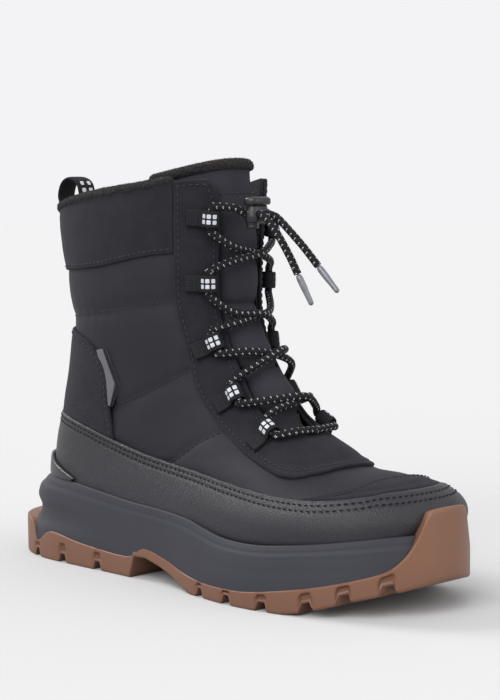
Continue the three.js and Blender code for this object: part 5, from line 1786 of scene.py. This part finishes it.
class BOOT_OT_side_tag(bpy.types.Operator):
    """Woven tag along the counter's front edge, left bare"""
    bl_idname = "boot.side_tag"
    bl_label = "Side tag"

    def execute(self, context):
        corners = [(0.279, 2.07), (0.305, 2.085), (0.339, 1.83), (0.318, 1.66), (0.3, 1.68), (0.295, 1.9)]
        shape = region(side_line(corners, fine=1))
        def outer_side(sheet):
            return 30 - np.abs(sheet.data[:, 1] - 0.25) * 160

        fields = [outer_side, shape, outside(COUNTER_SHAPE)]
        sheet = Sheet.over(3, 9, 110, 200)
        sheet.keep(*fields).ring(fields, (0.4,))
        inside = sheet.inset(fields)
        uv = sheet.points[:, [0, 2]]
        made = shell("side_tag", sheet, rounded(inside, 1.4, 0.5), np.full(len(inside), 0.2), [label()],
                     uv=uv)
        settle(made, "label", "side_tag")
        corners = [(0.27, 2.1), (0.2975, 2.1), (0.33, 1.84), (0.311, 1.6), (0.29, 1.6)]
        face = region(side_line(corners, fine=1))
        fields = [outer_side, shape, outside(COUNTER_SHAPE), lambda given: -face(given)]
        rim = Sheet.over(3, 9, 130, 240)
        rim.keep(*fields).ring(fields, (0.3,))
        inside = rim.inset(fields)
        made = shell("side_tag_rim", rim, rounded(inside, 2.0, 0.4), np.full(len(inside), 0.9),
                     [suede()])
        settle(made, "label")
        return {"FINISHED"}


class BOOT_OT_insole(bpy.types.Operator):
    """Felt insole on the lining's floor"""
    bl_idname = "boot.insole"
    bl_label = "Insole"

    def execute(self, context):
        source = bpy.data.objects["insole"]
        made = place_object("insole_felt", source.data.copy())
        made.data.materials.clear()
        made.data.materials.append(felt())
        work = bmesh.new()
        work.from_mesh(made.data)
        bmesh.ops.remove_doubles(work, verts=work.verts, dist=1e-6)
        work.to_mesh(made.data)
        work.free()
        for kind, settings in (("REMESH", {"mode": "VOXEL", "voxel_size": 0.0016}),
                               ("SMOOTH", {"factor": 0.6, "iterations": 6})):
            modifier = made.modifiers.new(kind.lower(), kind)
            for key, value in settings.items():
                setattr(modifier, key, value)
        graph = context.evaluated_depsgraph_get()
        mesh = bpy.data.meshes.new_from_object(made.evaluated_get(graph), depsgraph=graph)
        made.modifiers.clear()
        made.data = mesh
        mesh.polygons.foreach_set("use_smooth", [True] * len(mesh.polygons))
        settle(made, "footbed", "insole")
        return {"FINISHED"}


# Stage

class BOOT_OT_stage(bpy.types.Operator):
    """Camera at the picture's angle, pale floor and soft studio light"""
    bl_idname = "boot.stage"
    bl_label = "Stage"

    def execute(self, context):
        forward = Vector((-0.7081, 0.6983, -0.1045)).normalized()
        up = Vector((-0.0671, 0.0808, 0.9945))
        right = forward.cross(up).normalized()
        up = right.cross(forward)
        data = bpy.data.cameras.new("camera")
        data.sensor_width = 36
        data.lens = 1915 * 36 / 700
        data.shift_x = 20 / 700
        data.shift_y = 35 / 700
        camera = bpy.data.objects.new("camera", data)
        turn = Matrix((right, up, -forward)).transposed().to_4x4()
        camera.matrix_world = Matrix.Translation(Vector((0.7081, -0.6983, 0.2045))) @ turn
        context.collection.objects.link(camera)
        context.scene.camera = camera
        context.scene.view_settings.view_transform = "Standard"
        mesh = bpy.data.meshes.new("floor")
        a = np.linspace(0, 2 * np.pi, 97)[:-1]
        mesh.from_pydata([(9 * math.cos(t), 9 * math.sin(t), 0) for t in a], [], [tuple(range(96))])
        mesh.materials.append(pale_floor())
        floor = bpy.data.objects.new("floor", mesh)
        context.collection.objects.link(floor)
        world = bpy.data.worlds.new("studio")
        context.scene.world = world
        world.use_nodes = True
        world.node_tree.nodes["Background"].inputs[0].default_value = (*PALE, 1)
        world.node_tree.nodes["Background"].inputs[1].default_value = 1.0
        for name, towards, strength, spread in SUNS:
            lamp = bpy.data.lights.new(name, "SUN")
            lamp.energy = strength
            lamp.angle = spread
            holder = bpy.data.objects.new(name, lamp)
            holder.matrix_world = (-Vector(towards)).to_track_quat("-Z", "Y").to_matrix().to_4x4()
            context.collection.objects.link(holder)
        return {"FINISHED"}


# Settings and panel

class BootUpperSettings(bpy.types.PropertyGroup):
    """Padding of the upper"""
    puff: bpy.props.FloatProperty(name="Puff", description="How far the nylon stands between its seams",
                                  default=0.0019, min=0, max=0.004, unit="LENGTH")


class BootLaceSettings(bpy.types.PropertyGroup):
    """Sizes of the lace"""
    diameter: bpy.props.FloatProperty(name="Diameter", description="Thickness of the lace",
                                      default=0.004, min=0.003, max=0.005, unit="LENGTH")


class BootColours(bpy.types.PropertyGroup):
    """Colours of the main finishes"""


COLOURS = {"nylon": (35, 34, 39), "suede": (30, 30, 35), "coated": (24, 23, 30), "foam": (43, 43, 50),
           "gum": (101, 68, 50), "fleece": (36, 34, 35), "cord": (24, 24, 26)}
for colour_name, colour_value in COLOURS.items():
    BootColours.__annotations__[colour_name] = bpy.props.FloatVectorProperty(
        name=colour_name.capitalize(), description="Colour of the " + colour_name, subtype="COLOR",
        size=4, min=0, max=1, default=tone(*colour_value))

STEPS = (BOOT_OT_stage, BOOT_OT_lace, BOOT_OT_upper, BOOT_OT_overlays, BOOT_OT_rand, BOOT_OT_binding,
         BOOT_OT_tongue, BOOT_OT_midsole, BOOT_OT_outsole, BOOT_OT_pull_loop, BOOT_OT_lace_loops,
         BOOT_OT_cord_lock, BOOT_OT_heel_clip, BOOT_OT_side_tag, BOOT_OT_insole, BOOT_OT_stitches)


class BOOT_PT_pieces(bpy.types.Panel):
    """The boot's pieces and settings"""
    bl_label = "Winter boot"
    bl_idname = "BOOT_PT_pieces"
    bl_space_type = "VIEW_3D"
    bl_region_type = "UI"
    bl_category = "Boot"

    def draw(self, context):
        layout = self.layout
        scene = context.scene
        layout.prop(scene.boot_upper, "puff")
        layout.prop(scene.boot_lace, "diameter")
        for name in COLOURS:
            layout.prop(scene.boot_colours, name)
        for made in STEPS:
            layout.operator(made.bl_idname)


CLASSES = (BootUpperSettings, BootLaceSettings, BootColours, *STEPS, BOOT_PT_pieces)


def register():
    for made in CLASSES:
        bpy.utils.register_class(made)
    bpy.types.Scene.boot_upper = bpy.props.PointerProperty(type=BootUpperSettings)
    bpy.types.Scene.boot_lace = bpy.props.PointerProperty(type=BootLaceSettings)
    bpy.types.Scene.boot_colours = bpy.props.PointerProperty(type=BootColours)


def unregister():
    for name in ("boot_upper", "boot_lace", "boot_colours"):
        delattr(bpy.types.Scene, name)
    for made in reversed(CLASSES):
        bpy.utils.unregister_class(made)


def main():
    register()
    for made in STEPS:
        group, name = made.bl_idname.split(".")
        getattr(getattr(bpy.ops, group), name)()


if __name__ == "__main__":
    main()
